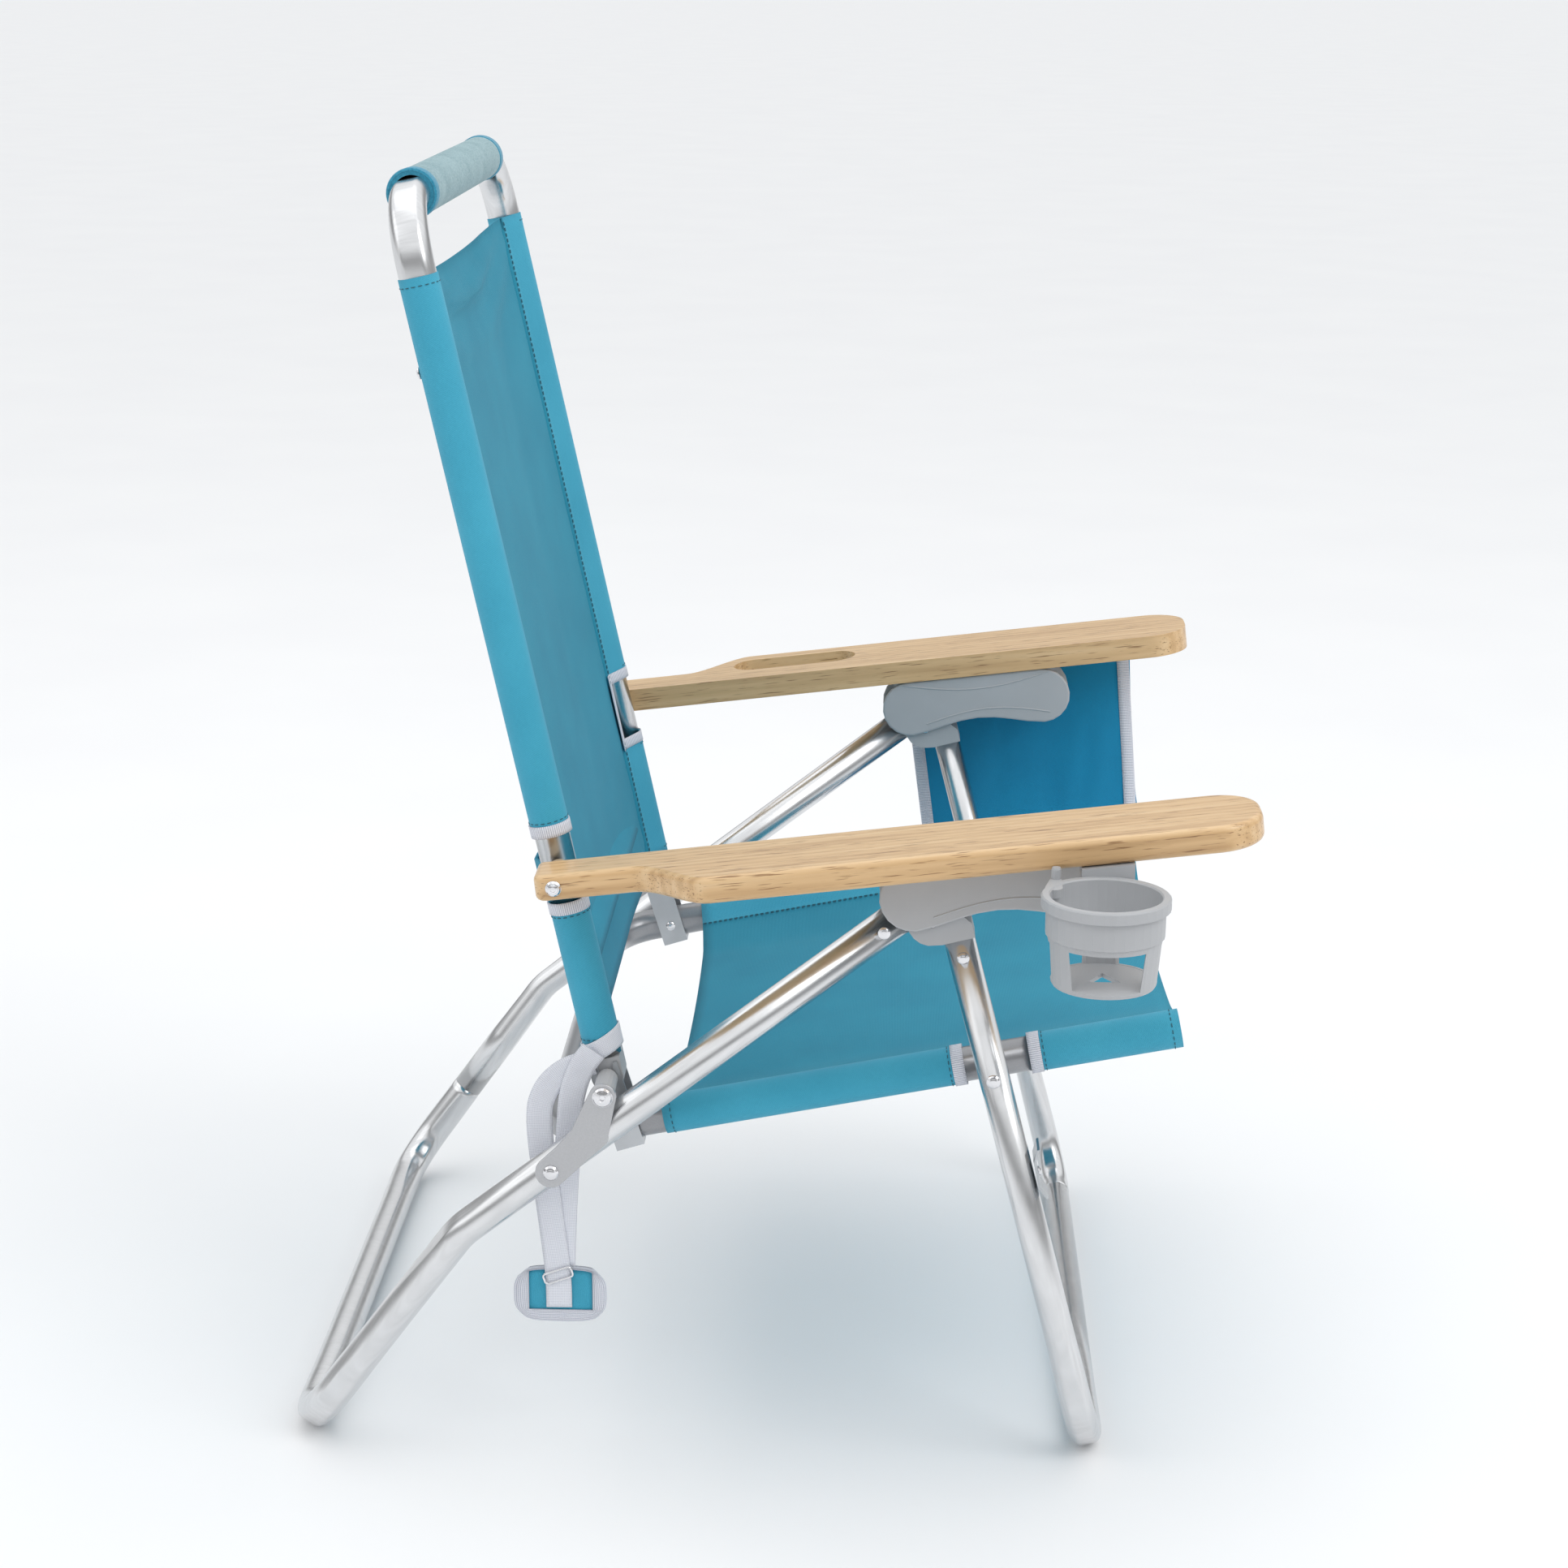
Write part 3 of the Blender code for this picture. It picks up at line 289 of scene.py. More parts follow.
def wood(name):
    """Lacquered oak: long streaks, growth lines and short dark pores along the armrest."""
    made = Shader(name, 0.32, Coat_Weight=0.3, Coat_Roughness=0.2)
    tilt = (ARM_TILT, 0, 0)
    streaks = made.noise(made.place(scale=(130, 5, 130), turn=tilt), 1.0, 5)
    lines = made.bands(made.place(scale=(1, 0.06, 1), turn=tilt), 0.0075, "X", 3.2)
    pores = made.noise(made.place(scale=(900, 38, 900), turn=tilt), 1.0, 2)
    base = made.ramp(made.math("ADD", made.math("MULTIPLY", streaks, 0.85),
                               made.math("MULTIPLY", lines, 0.15)),
                     [(0.22, (0.46, 0.270, 0.115)), (0.5, (0.65, 0.425, 0.210)), (0.8, (0.74, 0.530, 0.300))])
    dashes = made.ramp(pores, [(0.30, (0.42, 0.33, 0.24)), (0.40, (1, 1, 1))])
    mixed = made.node("ShaderNodeMix", {"Factor": 1.0, 6: base, 7: dashes}, data_type="RGBA",
                      blend_type="MULTIPLY")
    made.colour(mixed.outputs[2])
    made.roughness(streaks, 0.26, 0.42)
    made.bump(pores, 0.00008)
    return made.material


def foamed(name, low, high):
    made = Shader(name, 0.9, Sheen_Weight=0.25)
    cells = made.noise(made.place(), 650, 4)
    cloud = made.noise(made.place(), 40, 2)
    made.colour(made.ramp(made.math("ADD", made.math("MULTIPLY", cells, 0.7),
                                    made.math("MULTIPLY", cloud, 0.3)), [(0.35, low), (0.65, high)]))
    made.bump(cells, 0.0005)
    return made.material


def make_materials():
    return {
        "tube": polished("polished_aluminium", (0.74, 0.745, 0.755), 0.21),
        "paint": painted("grey_lacquer", (0.30, 0.305, 0.32)),
        "plate": painted("pale_lacquer", (0.46, 0.465, 0.48)),
        "steel": polished("pressed_steel", (0.50, 0.52, 0.54), 0.34),
        "chrome": polished("bright_rivets", (0.80, 0.80, 0.82), 0.12),
        "plastic": moulded("grey_plastic", (0.43, 0.44, 0.455)),
        "tan": moulded("tan_washers", (0.50, 0.40, 0.27)),
        "oak": wood("lacquered_oak"),
        "cloth": woven("teal_twill", (0.006, 0.180, 0.290), (0.022, 0.320, 0.455), 0.08),
        "sleeve": woven("teal_sleeves", (0.020, 0.265, 0.410), (0.070, 0.450, 0.625), 0.16),
        "pouch": woven("blue_twill", (0.000, 0.175, 0.350), (0.000, 0.300, 0.540), 0.05),
        "thread": woven("dark_teal_thread", (0.010, 0.090, 0.130), (0.030, 0.150, 0.200), 0.2, "Object"),
        "white": ribbed("white_binding", (0.44, 0.46, 0.55), (0.80, 0.82, 0.88), 0.0015, 0.8, 0.0004),
        "webbing": ribbed("white_webbing", (0.60, 0.62, 0.69), (0.80, 0.82, 0.88), 0.0013, 0.5, 0.00022),
        "foam": foamed("grey_teal_foam", (0.135, 0.265, 0.300), (0.300, 0.450, 0.480)),
        "ring": foamed("teal_foam_rings", (0.015, 0.200, 0.320), (0.040, 0.300, 0.440)),
    }


# Mesh building

def finish(name, mesh, paint, smooth_angle=35):
    bmesh.ops.recalc_face_normals(mesh, faces=mesh.faces[:])
    data = bpy.data.meshes.new(name)
    mesh.to_mesh(data)
    mesh.free()
    data.shade_smooth()
    data.set_sharp_from_angle(angle=radians(smooth_angle))
    data.materials.append(paint)
    made = bpy.data.objects.new(name, data)
    bpy.context.scene.collection.objects.link(made)
    return made


def attach(piece, body, slot, *nodes):
    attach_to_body(piece, body)
    if nodes:
        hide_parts(*nodes)
    return piece


def solidify(piece, thickness, offset=0.0):
    modifier = piece.modifiers.new("thickness", "SOLIDIFY")
    modifier.thickness = thickness
    modifier.offset = offset
    modifier.use_even_offset = True
    return piece


def bevel(piece, width, segments=3):
    modifier = piece.modifiers.new("rounding", "BEVEL")
    modifier.width = width
    modifier.segments = segments
    modifier.limit_method = "ANGLE"
    modifier.angle_limit = radians(40)
    modifier.harden_normals = False
    return piece


def grid(name, rows, paint, skip=None, closed=False):
    """Sheet through rows of points, with coordinates in metres measured across and along it."""
    mesh = bmesh.new()
    layer = mesh.loops.layers.uv.new("UVMap")
    made = [[mesh.verts.new(point) for point in row] for row in rows]
    across = [0.0]
    middle = rows[len(rows) // 2]
    for one, other in zip(middle, middle[1:]):
        across.append(across[-1] + (other - one).length)
    span = len(rows[0]) // 2
    ahead = [0.0]
    for one, other in zip(rows, rows[1:]):
        ahead.append(ahead[-1] + (other[span] - one[span]).length)
    count = len(rows[0])
    for i in range(len(rows) - 1):
        for j in range(count if closed else count - 1):
            if skip and skip(i, j):
                continue
            n = (j + 1) % count
            face = mesh.faces.new((made[i][j], made[i][n], made[i + 1][n], made[i + 1][j]))
            wide = across[j + 1] if j + 1 < count else across[j] + 0.002
            spots = ((across[j], ahead[i]), (wide, ahead[i]), (wide, ahead[i + 1]), (across[j], ahead[i + 1]))
            for loop, spot in zip(face.loops, spots):
                loop[layer].uv = spot
    loose = [vert for vert in mesh.verts if not vert.link_faces]
    bmesh.ops.delete(mesh, geom=loose, context="VERTS")
    return finish(name, mesh, paint, 60)


def route(corners, radius, steps=14):
    """Stations (point, outward side of the bend, bend weight) through corners rounded with arcs."""
    fade = [0.07 - 0.01 * k for k in range(7)]
    stations = [(corners[0], None, 0.0)]
    for before, corner, after in zip(corners, corners[1:], corners[2:]):
        into = (before - corner).normalized()
        out = (after - corner).normalized()
        half = acos(max(-1, min(1, into.dot(out)))) / 2
        centre = corner + (into + out).normalized() * (radius / sin(half))
        reach = radius / tan(half)
        first = corner + into * reach - centre
        last = corner + out * reach - centre
        sweep = acos(max(-1, min(1, first.dot(last) / radius ** 2)))
        start, end = centre + first, centre + last
        room = min((start - stations[-1][0]).length, (corner - before).length / 2)
        for gap in fade:
            if gap < room * 0.9:
                stations.append((start + into * gap, first.normalized(), 1 - smooth(gap / 0.075)))
        for k in range(steps + 1):
            share = k / steps
            spot = centre + (first * sin((1 - share) * sweep) + last * sin(share * sweep)) / sin(sweep)
            stations.append((spot, (spot - centre).normalized(), 1.0))
        room = (after - end).length * (0.45 if after is not corners[-1] else 0.9)
        for gap in reversed(fade):
            if gap < room:
                stations.append((end + out * gap, last.normalized(), 1 - smooth(gap / 0.075)))
    stations.append((corners[-1], None, 0.0))
    return stations


def sweep_tube(name, stations, radius, paint, sides=56, flat=0.17):
    """Round tube whose outer side is pressed flat where it is bent, as the bending tool leaves it."""
    points = [station[0] for station in stations]
    tangents = []
    for i in range(len(points)):
        ahead = points[min(i + 1, len(points) - 1)]
        tangents.append((ahead - points[max(i - 1, 0)]).normalized())
    side = tangents[0].orthogonal().normalized()
    rows = []
    for i, (point, outward, weight) in enumerate(stations):
        if i:
            side = tangents[i - 1].rotation_difference(tangents[i]) @ side
            side = (side - tangents[i] * side.dot(tangents[i])).normalized()
        other = tangents[i].cross(side)
        row = []
        for k in range(sides):
            angle = 2 * pi * k / sides
            spoke = (side * cos(angle) + other * sin(angle)) * radius
            if weight:
                normal = tangents[i].cross(outward).normalized()
                height = spoke.dot(outward)
                limit = radius * (1 - flat * weight)
                spoke -= outward * max(0.0, height - limit) * 0.9
                spoke -= outward * min(0.0, height + radius * (1 - 0.08 * weight)) * 0.8
                spoke += normal * spoke.dot(normal) * 0.05 * weight
            row.append(point + spoke)
        rows.append(row)
    tube = grid(name, rows, paint, closed=True)
    return solidify(tube, 0.0012, -1.0)


def lathe(name, profile, centre, axis, paint, sides=48):
    axis = axis.normalized()
    side = axis.orthogonal().normalized()
    other = axis.cross(side)
    mesh = bmesh.new()
    rings = []
    for radius, height in profile:
        if radius == 0:
            rings.append([mesh.verts.new(centre + axis * height)])
            continue
        spokes = [side * cos(2 * pi * k / sides) + other * sin(2 * pi * k / sides) for k in range(sides)]
        rings.append([mesh.verts.new(centre + axis * height + spoke * radius) for spoke in spokes])
    for near, far in zip(rings, rings[1:]):
        for k in range(sides):
            n = (k + 1) % sides
            corners = [near[k % len(near)], near[n % len(near)], far[n % len(far)], far[k % len(far)]]
            unique = list(dict.fromkeys(corners))
            if len(unique) > 2:
                mesh.faces.new(unique)
    return finish(name, mesh, paint, 30)


def prism(name, outline, base, first, second, depth, paint, holes=()):
    mesh = bmesh.new()
    edges = []
    for loop in (outline, *holes):
        ring = [mesh.verts.new(base + first * a + second * b) for a, b in loop]
        edges += [mesh.edges.new((one, other)) for one, other in zip(ring, ring[1:] + ring[:1])]
    if holes:
        bmesh.ops.triangle_fill(mesh, use_beauty=True, edges=edges)
    else:
        mesh.faces.new(list(mesh.verts))
    grown = bmesh.ops.extrude_face_region(mesh, geom=mesh.faces[:], use_keep_orig=True)
    moved = [item for item in grown["geom"] if isinstance(item, bmesh.types.BMVert)]
    bmesh.ops.translate(mesh, verts=moved, vec=depth)
    return finish(name, mesh, paint)


def arc(centre, radius, start, end, steps):
    return [(centre[0] + radius * cos(radians(start + (end - start) * k / steps)),
             centre[1] + radius * sin(radians(start + (end - start) * k / steps)))
            for k in range(steps + 1)]


def curve_through(points, count):
    """Points at even shares of a smooth curve through side-view points."""
    padded = [points[0], *points, points[-1]]
    result = []
    spans = len(points) - 1
    for k in range(count + 1):
        place = k / count * spans
        i = min(int(place), spans - 1)
        t = place - i
        a, b, c, d = padded[i:i + 4]
        result.append(tuple(0.5 * (2 * b[n] + (c[n] - a[n]) * t
                                   + (2 * a[n] - 5 * b[n] + 4 * c[n] - d[n]) * t * t
                                   + (3 * b[n] - a[n] - 3 * c[n] + d[n]) * t ** 3)
                            for n in range(len(b))))
    return result


def stitches(name, lines, paint, pitch=0.0046, length=0.0030, radius=0.00042):
    """One mesh of short thread bars along lines; a line is (points, outward direction)."""
    mesh = bmesh.new()
    for points, outward in lines:
        lengths = [(b - a).length for a, b in zip(points, points[1:])]
        total = sum(lengths)
        for k in range(int(total / pitch)):
            distance = (k + 0.5) * pitch
            i = 0
            while i < len(lengths) - 1 and distance > lengths[i]:
                distance -= lengths[i]
                i += 1
            tangent = (points[i + 1] - points[i]).normalized()
            middle = points[i] + tangent * distance
            across = tangent.cross(outward).normalized()
            rings = []
            for share, size in ((-0.5, 0.35), (-0.38, 0.95), (0.38, 0.95), (0.5, 0.35)):
                centre = middle + tangent * (share * length)
                rings.append([mesh.verts.new(centre + (across * cos(a) + outward * sin(a)) * radius * size)
                              for a in (2 * pi * n / 6 for n in range(6))])
            for near, far in zip(rings, rings[1:]):
                for n in range(6):
                    mesh.faces.new((near[n], near[(n + 1) % 6], far[(n + 1) % 6], far[n]))
            mesh.faces.new(rings[0][::-1])
            mesh.faces.new(rings[-1])
    return finish(name, mesh, paint, 60)


def simulate(piece, pinned, grow, cap):
    """Let the cloth hang from its pinned points, cap how far any point moves, and keep the result."""
    group = piece.vertex_groups.new(name="pinned")
    rest = [vert.co.copy() for vert in piece.data.vertices]
    group.add([i for i, spot in enumerate(rest) if pinned(spot)], 1.0, "REPLACE")
    modifier = piece.modifiers.new("cloth", "CLOTH")
    settings = modifier.settings
    settings.quality = 8
    settings.mass = 0.25
    settings.tension_stiffness = settings.compression_stiffness = 30
    settings.shear_stiffness = 12
    settings.bending_stiffness = 0.6
    settings.vertex_group_mass = "pinned"
    settings.shrink_min = -grow
    modifier.collision_settings.use_collision = False
    scene = bpy.context.scene
    for k in range(1, CLOTH_FRAMES + 1):
        scene.frame_set(k)
    graph = bpy.context.evaluated_depsgraph_get()
    moved = [vert.co.copy() for vert in piece.evaluated_get(graph).data.vertices]
    piece.modifiers.remove(modifier)
    piece.vertex_groups.remove(group)
    scene.frame_set(1)
    for vert, before, after in zip(piece.data.vertices, rest, moved):
        shift = after - before
        if shift.length > cap:
            shift *= cap / shift.length
        vert.co = before + shift
    return piece


# Tubes

def make_tubes(paint):
    right = [at(-LEG_X, *REAR_TOP), at(-LEG_X, *REAR_KNEE), at(-REAR_FOOT_X, 0, REAR_TUBE)]
    left = [at(LEG_X, *REAR_TOP), at(LEG_X, *REAR_KNEE), at(REAR_FOOT_X, 0, REAR_TUBE)]
    seam = left[2].lerp(left[1], 0.42)
    knee = route(right, KNEE_BEND)
    foot = route([right[1].lerp(right[2], 0.45), right[2], left[2], seam], REAR_BEND)
    loop = sweep_tube("rear_legs", knee[:-1] + foot[1:], REAR_TUBE - 0.0001, paint["tube"])
    attach(loop, "rear_frame", "polished_tube", "rear_leg_loop")
    upper = left[2].lerp(left[1], 0.42 + 0.0015)
    knee = route([upper, left[1], left[0]], KNEE_BEND)
    attach(sweep_tube("rear_leg_upper", knee, REAR_TUBE, paint["tube"]), "rear_frame", "polished_tube",
           "rear_leg_left")
    right = [at(-LEG_X, *FRONT_TOP), at(-FRONT_FOOT_X, FRONT_FOOT, FRONT_TUBE)]
    left = [at(LEG_X, *FRONT_TOP), at(FRONT_FOOT_X, FRONT_FOOT, FRONT_TUBE)]
    seam_x = FRONT_FOOT_X - 0.052
    seam = at(seam_x, FRONT_FOOT, FRONT_TUBE)
    loop = sweep_tube("front_legs", route([*right, seam], FRONT_BEND), FRONT_TUBE, paint["tube"])
    attach(loop, "front_frame", "polished_tube", "front_leg_loop")
    begin = at(seam_x + 0.0004, FRONT_FOOT, FRONT_TUBE)
    upper = sweep_tube("front_leg_upper", route([begin, left[1], left[0]], FRONT_BEND), FRONT_TUBE - 0.00015,
                       paint["tube"])
    attach(upper, "front_frame", "polished_tube", "front_leg_left")
    corners = [at(side * SLING_X, *seat_point(spot))
               for side, spot in ((-1, SEAT_FRONT), (-1, SEAT_REAR), (1, SEAT_REAR), (1, SEAT_FRONT))]
    attach(sweep_tube("seat_frame_tube", route(corners, SEAT_BEND), SEAT_TUBE, paint["paint"]),
           "seat_frame", "grey_paint", "seat_tube")
    corners = [at(side * SLING_X, *back_point(spot))
               for side, spot in ((-1, BACK_START), (-1, BACK_LENGTH), (1, BACK_LENGTH), (1, BACK_START))]
    attach(sweep_tube("back_frame_tube", route(corners, BACK_BEND), SEAT_TUBE, paint["tube"]),
           "back_frame", "polished_tube", "back_tube")


def make_grip(paint):
    radius = 0.0172
    half = GRIP_HALF
    profile = [(0.0130, -half), (0.0160, -half), (radius, -half + 0.0016), (radius, -half + 0.004)]
    steps = 60
    for k in range(steps + 1):
        spot = -half + 0.005 + (2 * half - 0.010) * k / steps
        profile.append((radius + 0.00022 * sin(k * 1.9) * sin(k * 0.63), spot))
    profile += [(radius, half - 0.004), (radius, half - 0.0016), (0.0160, half), (0.0130, half)]
    centre = at(0, *back_point(BACK_LENGTH))
    grip = lathe("grip", profile, centre, Vector((1, 0, 0)), paint["foam"], 56)
    attach(grip, "back_frame", "foam", "handle_grip")
    for name, side in SIDES:
        ring = [(0.0172, -0.0135), (0.0179, -0.0130), (0.0181, -0.0010), (0.0176, 0.0004), (0.0162, 0.0010),
                (0.0156, 0.0004), (0.0131, 0.0002)]
        place = centre + Vector((side * (half + 0.0001), 0, 0))
        ring = lathe(f"grip_ring_{name}", ring, place, Vector((side, 0, 0)), paint["ring"])
        attach(ring, "back_frame", "foam")


# Slings

def sleeve_path():
    """(inward, lift) from the hem under the panel, round the side tube, to the seam."""
    root = acos(SLEEVE_R / SEAM)
    under = [(SEAM + 0.010, -0.0012), (SEAM + 0.005, -0.0011), (SEAM, -0.0010)]
    low = (SLEEVE_R * cos(root), -SLEEVE_R * sin(root))
    path = under + [(SEAM + (low[0] - SEAM) * k / 4, -0.0010 + (low[1] + 0.0010) * k / 4) for k in (1, 2, 3)]
    turn = 2 * (pi - root) / 20
    path += [(SLEEVE_R * cos(root + turn * k), -SLEEVE_R * sin(root + turn * k)) for k in range(21)]
    return path + [(low[0] + (SEAM - low[0]) * k / 4, -low[1] + low[1] * k / 4) for k in (1, 2, 3, 4)]


def stations_between(marks, step):
    """Distances from the first mark to the last that hit every mark."""
    result = [marks[0]]
    for low, high in zip(marks, marks[1:]):
        count = max(1, round((high - low) / step))
        result += [low + (high - low) * k / count for k in range(1, count + 1)]
    return result


def make_sling(name, node, body, point, sleeve, panel, notch, bow, paint):
    """One sheet: two sleeves sewn round the side tubes, and the panel stretched between them."""
    path = sleeve_path()
    inner = SLING_X - SEAM
    across = [-inner + 2 * inner * k / 44 for k in range(1, 44)]
    section = [(-SLING_X + u, v) for u, v in path] + [(x, 0.0) for x in across]
    section += [(SLING_X - u, v) for u, v in reversed(path)]
    spots = stations_between(sorted({panel[0], sleeve[0], *notch, sleeve[1], panel[1]}), 0.0105)
    low, high = spots[0], spots[-1]
    rows = []
    for spot in spots:
        row = []
        for x, lift in section:
            share = max(0.0, 1 - (x / inner) ** 2) if abs(x) < inner else 0.0
            near, far = smooth(1 - (spot - low) / 0.12), smooth(1 - (high - spot) / 0.12)
            row.append(at(x, *point(spot + (bow[0] * near - bow[1] * far) * share, lift)))
        rows.append(row)
    sleeve_columns = len(path)

    def skip(i, j):
        in_sleeve = j < sleeve_columns - 1 or j >= len(section) - sleeve_columns
        middle = (spots[i] + spots[i + 1]) / 2
        bare = middle < sleeve[0] or middle > sleeve[1] or notch[0] < middle < notch[1]
        return in_sleeve and bare

    piece = grid(name, rows, paint["cloth"], skip)
    piece.data.materials.append(paint["sleeve"])
    for face in piece.data.polygons:
        if abs(face.center.x - MIDDLE) > inner - 0.0005:
            face.material_index = 1
    simulate(piece, lambda spot: abs(spot.x - MIDDLE) > inner - 0.006, grow=0.0012, cap=0.010)
    solidify(piece, SHEET)
    attach(piece, body, "teal_cloth", node)
    return piece


def make_seams(name, body, point, angle, sleeve, notch, paint):
    """Double stitch lines beside both sleeves, and a line along each free edge."""
    outward = direction(angle + pi / 2)
    lines = []
    for side in (-1, 1):
        for inset in (0.0018, 0.0046):
            for low, high in ((sleeve[0], notch[0]), (notch[1], sleeve[1])):
                x = side * (SLING_X - SEAM - inset)
                for lift, face in ((0.0007, 1), (-0.0022, -1)):
                    points = [at(x, *point(low + (high - low) * k / 12, lift)) for k in range(13)]
                    lines.append((points, outward * face))
        for spot in (sleeve[0] + 0.006, notch[0] - 0.0105, notch[1] + 0.0105, sleeve[1] - 0.006):
            ring = [at(side * (SLING_X - u), *point(spot, v)) for u, v in
                    ((cos(a) * (SLEEVE_R + 0.0007), sin(a) * (SLEEVE_R + 0.0007))
                     for a in (radians(60 + 10 * k) for k in range(25)))]
            lines += [([one, other], (one - at(side * SLING_X, *point(spot))).normalized())
                      for one, other in zip(ring[::2], ring[2::2])]
    attach(stitches(f"{name}_seams", lines, paint["thread"]), body, "teal_cloth")


def make_bindings(name, body, point, notch, paint):
    """White ribbed binding round each sleeve beside its notch, and along the notch's inner edge."""
    path = sleeve_path()[2:]
    for label, side in SIDES:
        for index, (low, high) in enumerate(((notch[0] - 0.0085, notch[0] + 0.0004),
                                             (notch[1] - 0.0004, notch[1] + 0.0085))):
            rows = []
            for k in range(4):
                spot = low + (high - low) * k / 3
                row = []
                for u, v in path:
                    size = sqrt(u * u + v * v)
                    grown = (size + 0.0009) / size
                    row.append(at(side * (SLING_X - u * grown), *point(spot, v * grown)))
                rows.append(row)
            turned_rows = [list(column) for column in zip(*rows)]
            band = solidify(grid(f"{name}_binding_{label}_{index}", turned_rows, paint["white"]), 0.0009)
            attach(band, body, "webbing")
        lip = [(SEAM + 0.0080, 0.0011), (SEAM - 0.0004, 0.0012), (SEAM - 0.0013, -0.0004),
               (SEAM - 0.0004, -0.0020), (SEAM + 0.0080, -0.0019)]
        low, high = notch[0] - 0.0085, notch[1] + 0.0085
        rows = [[at(side * (SLING_X - u), *point(low + (high - low) * k / 10, v)) for u, v in lip]
                for k in range(11)]
        edge = solidify(grid(f"{name}_notch_edge_{label}", rows, paint["white"]), 0.0009)
        attach(edge, body, "webbing")


def make_slings(paint):
    sleeve, notch = (-0.242, 0.138), (-0.020, 0.028)
    make_sling("seat_cloth", "seat_sling", "seat_frame", seat_point, sleeve, sleeve, notch, (0.004, 0.005),
               paint)
    make_seams("seat_cloth", "seat_frame", seat_point, SEAT_TILT, sleeve, notch, paint)
    make_bindings("seat_cloth", "seat_frame", seat_point, notch, paint)
    sleeve, panel, notch = (0.0240, 0.588), (0.0125, 0.588), (0.135, 0.185)
    make_sling("back_cloth", "back_sling", "back_frame", back_point, sleeve, panel, notch, (-0.003, 0.002),
               paint)
    make_seams("back_cloth", "back_frame", back_point, BACK_ANGLE, sleeve, notch, paint)
    make_bindings("back_cloth", "back_frame", back_point, notch, paint)


# Armrests

def make_armrests(paint):
    tip_r = 0.034
    tail_r = 0.008
    outer = [(0.055 + 0.057 * k / 20, ARM_NECK + (ARM_OUTER - ARM_NECK) * smooth(k / 20)) for k in range(21)]
    outline = [(ARM_TAIL, ARM_INNER), *arc((ARM_TIP - tip_r, ARM_INNER + tip_r), tip_r, -90, 0, 14),
               *arc((ARM_TIP - tip_r, ARM_OUTER - tip_r), tip_r, 0, 90, 14), *reversed(outer),
               *arc((ARM_TAIL + tail_r, ARM_NECK - tail_r), tail_r, 90, 180, 6)]
    slot_x, slot_r = 0.308, 0.0195
    slot = (arc((0.205 - slot_r, slot_x), slot_r, -90, 90, 18)
            + arc((0.0975 + slot_r, slot_x), slot_r, 90, 270, 18))
    for name, side in SIDES:
        base = at(0, *arm_point(0, -ARM_THICK / 2))
        arm = prism(f"arm_{name}", outline, base, direction(ARM_TILT), Vector((side, 0, 0)),
                    direction(ARM_TILT + pi / 2) * ARM_THICK, paint["oak"], [slot] if side > 0 else [])
        bevel(arm, 0.0042, 4)
        attach(arm, "arms", "oak", f"armrest_{name}")


# Raised lines on a housing: (share of its length at each end, rise at the middle, drop at the ends)
HOUSING_LINES = ((0.20, 0.86, 0.0085, 0.0390), (0.10, 0.88, -0.0090, 0.0030))


def raised_line(name, points, outward, paint):
    """Half-round bead along points on a face whose outward side is +X or -X."""
    rounding = [radians(-90 + 36 * n) for n in range(6)]
    rows = [[spot + Vector((outward * 0.0005 * cos(a), 0, 0.0007 * sin(a))) for a in rounding]
            for spot in points]
    return grid(name, rows, paint)


def make_housing_lines(paint):
    """Raised line above each housing's arched edge, and a shallower one under the armrest."""
    for name, side in SIDES:
        for shell, outward in (("outer", side), ("inner", -side)):
            low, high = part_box(f"housing_{shell}_{name}")
            face = high.x if outward > 0 else low.x
            for index, (start, end, rise, drop) in enumerate(HOUSING_LINES):
                points = []
                for k in range(25):
                    spot = REAR_LINE - high.y + (high.y - low.y) * (start + (end - start) * k / 24)
                    lift = -ARM_THICK / 2 - drop + rise * sin(pi * k / 24)
                    ahead = (spot - ARM_PIVOT[0]) / cos(ARM_TILT)
                    points.append(at(face - MIDDLE, *arm_point(ahead, lift)))
                line = raised_line(f"housing_line_{name}_{shell}_{index}", points, outward, paint["plastic"])
                attach(line, "arms", "grey_plastic")


# Fasteners

DOME = [(0.62, -0.30), (1.00, -0.30), (1.00, 0.18), (0.93, 0.34), (0.84, 0.38), (0.80, 0.34), (0.76, 0.40),
        (0.66, 0.70), (0.48, 0.90), (0.25, 0.99), (0.0, 1.0)]
BUTTON = [(0.60, -0.25), (1.00, -0.25), (1.00, 0.20), (0.95, 0.27), (0.74, 0.30), (0.70, 0.55), (0.60, 0.84),
          (0.40, 0.98), (0.34, 1.0), (0.32, 0.96), (0.31, 0.45), (0.0, 0.45)]


def make_fasteners(paint):
    """Domed rivets and button heads over the CAD heads; each is sized and placed by its node's box."""
    heads = [("plate_rivet", "rear_frame", DOME, 0.0028), ("seat_rivet", "front_frame", DOME, 0.0022),
             ("rear_cap_rivet", "rear_frame", DOME, 0.0014), ("front_cap_rivet", "front_frame", DOME, 0.0020),
             ("pivot_bolt", "pivot_bolts", BUTTON, 0.0030), ("arm_bolt", "arm_pivots", BUTTON, 0.0033)]
    for node, body, profile, height in heads:
        for name, side in SIDES:
            low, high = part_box(f"{node}_{name}")
            radius = (high.z - low.z) / 2
            edge = high.x if side > 0 else low.x
            centre = Vector((edge - side * height, (low.y + high.y) / 2, (low.z + high.z) / 2))
            points = [(share * radius * 1.04, lift * height * 1.08) for share, lift in profile]
            head = lathe(f"{node}_head_{name}", points, centre, Vector((side, 0, 0)), paint["chrome"])
            attach(head, body, "rivet_steel")


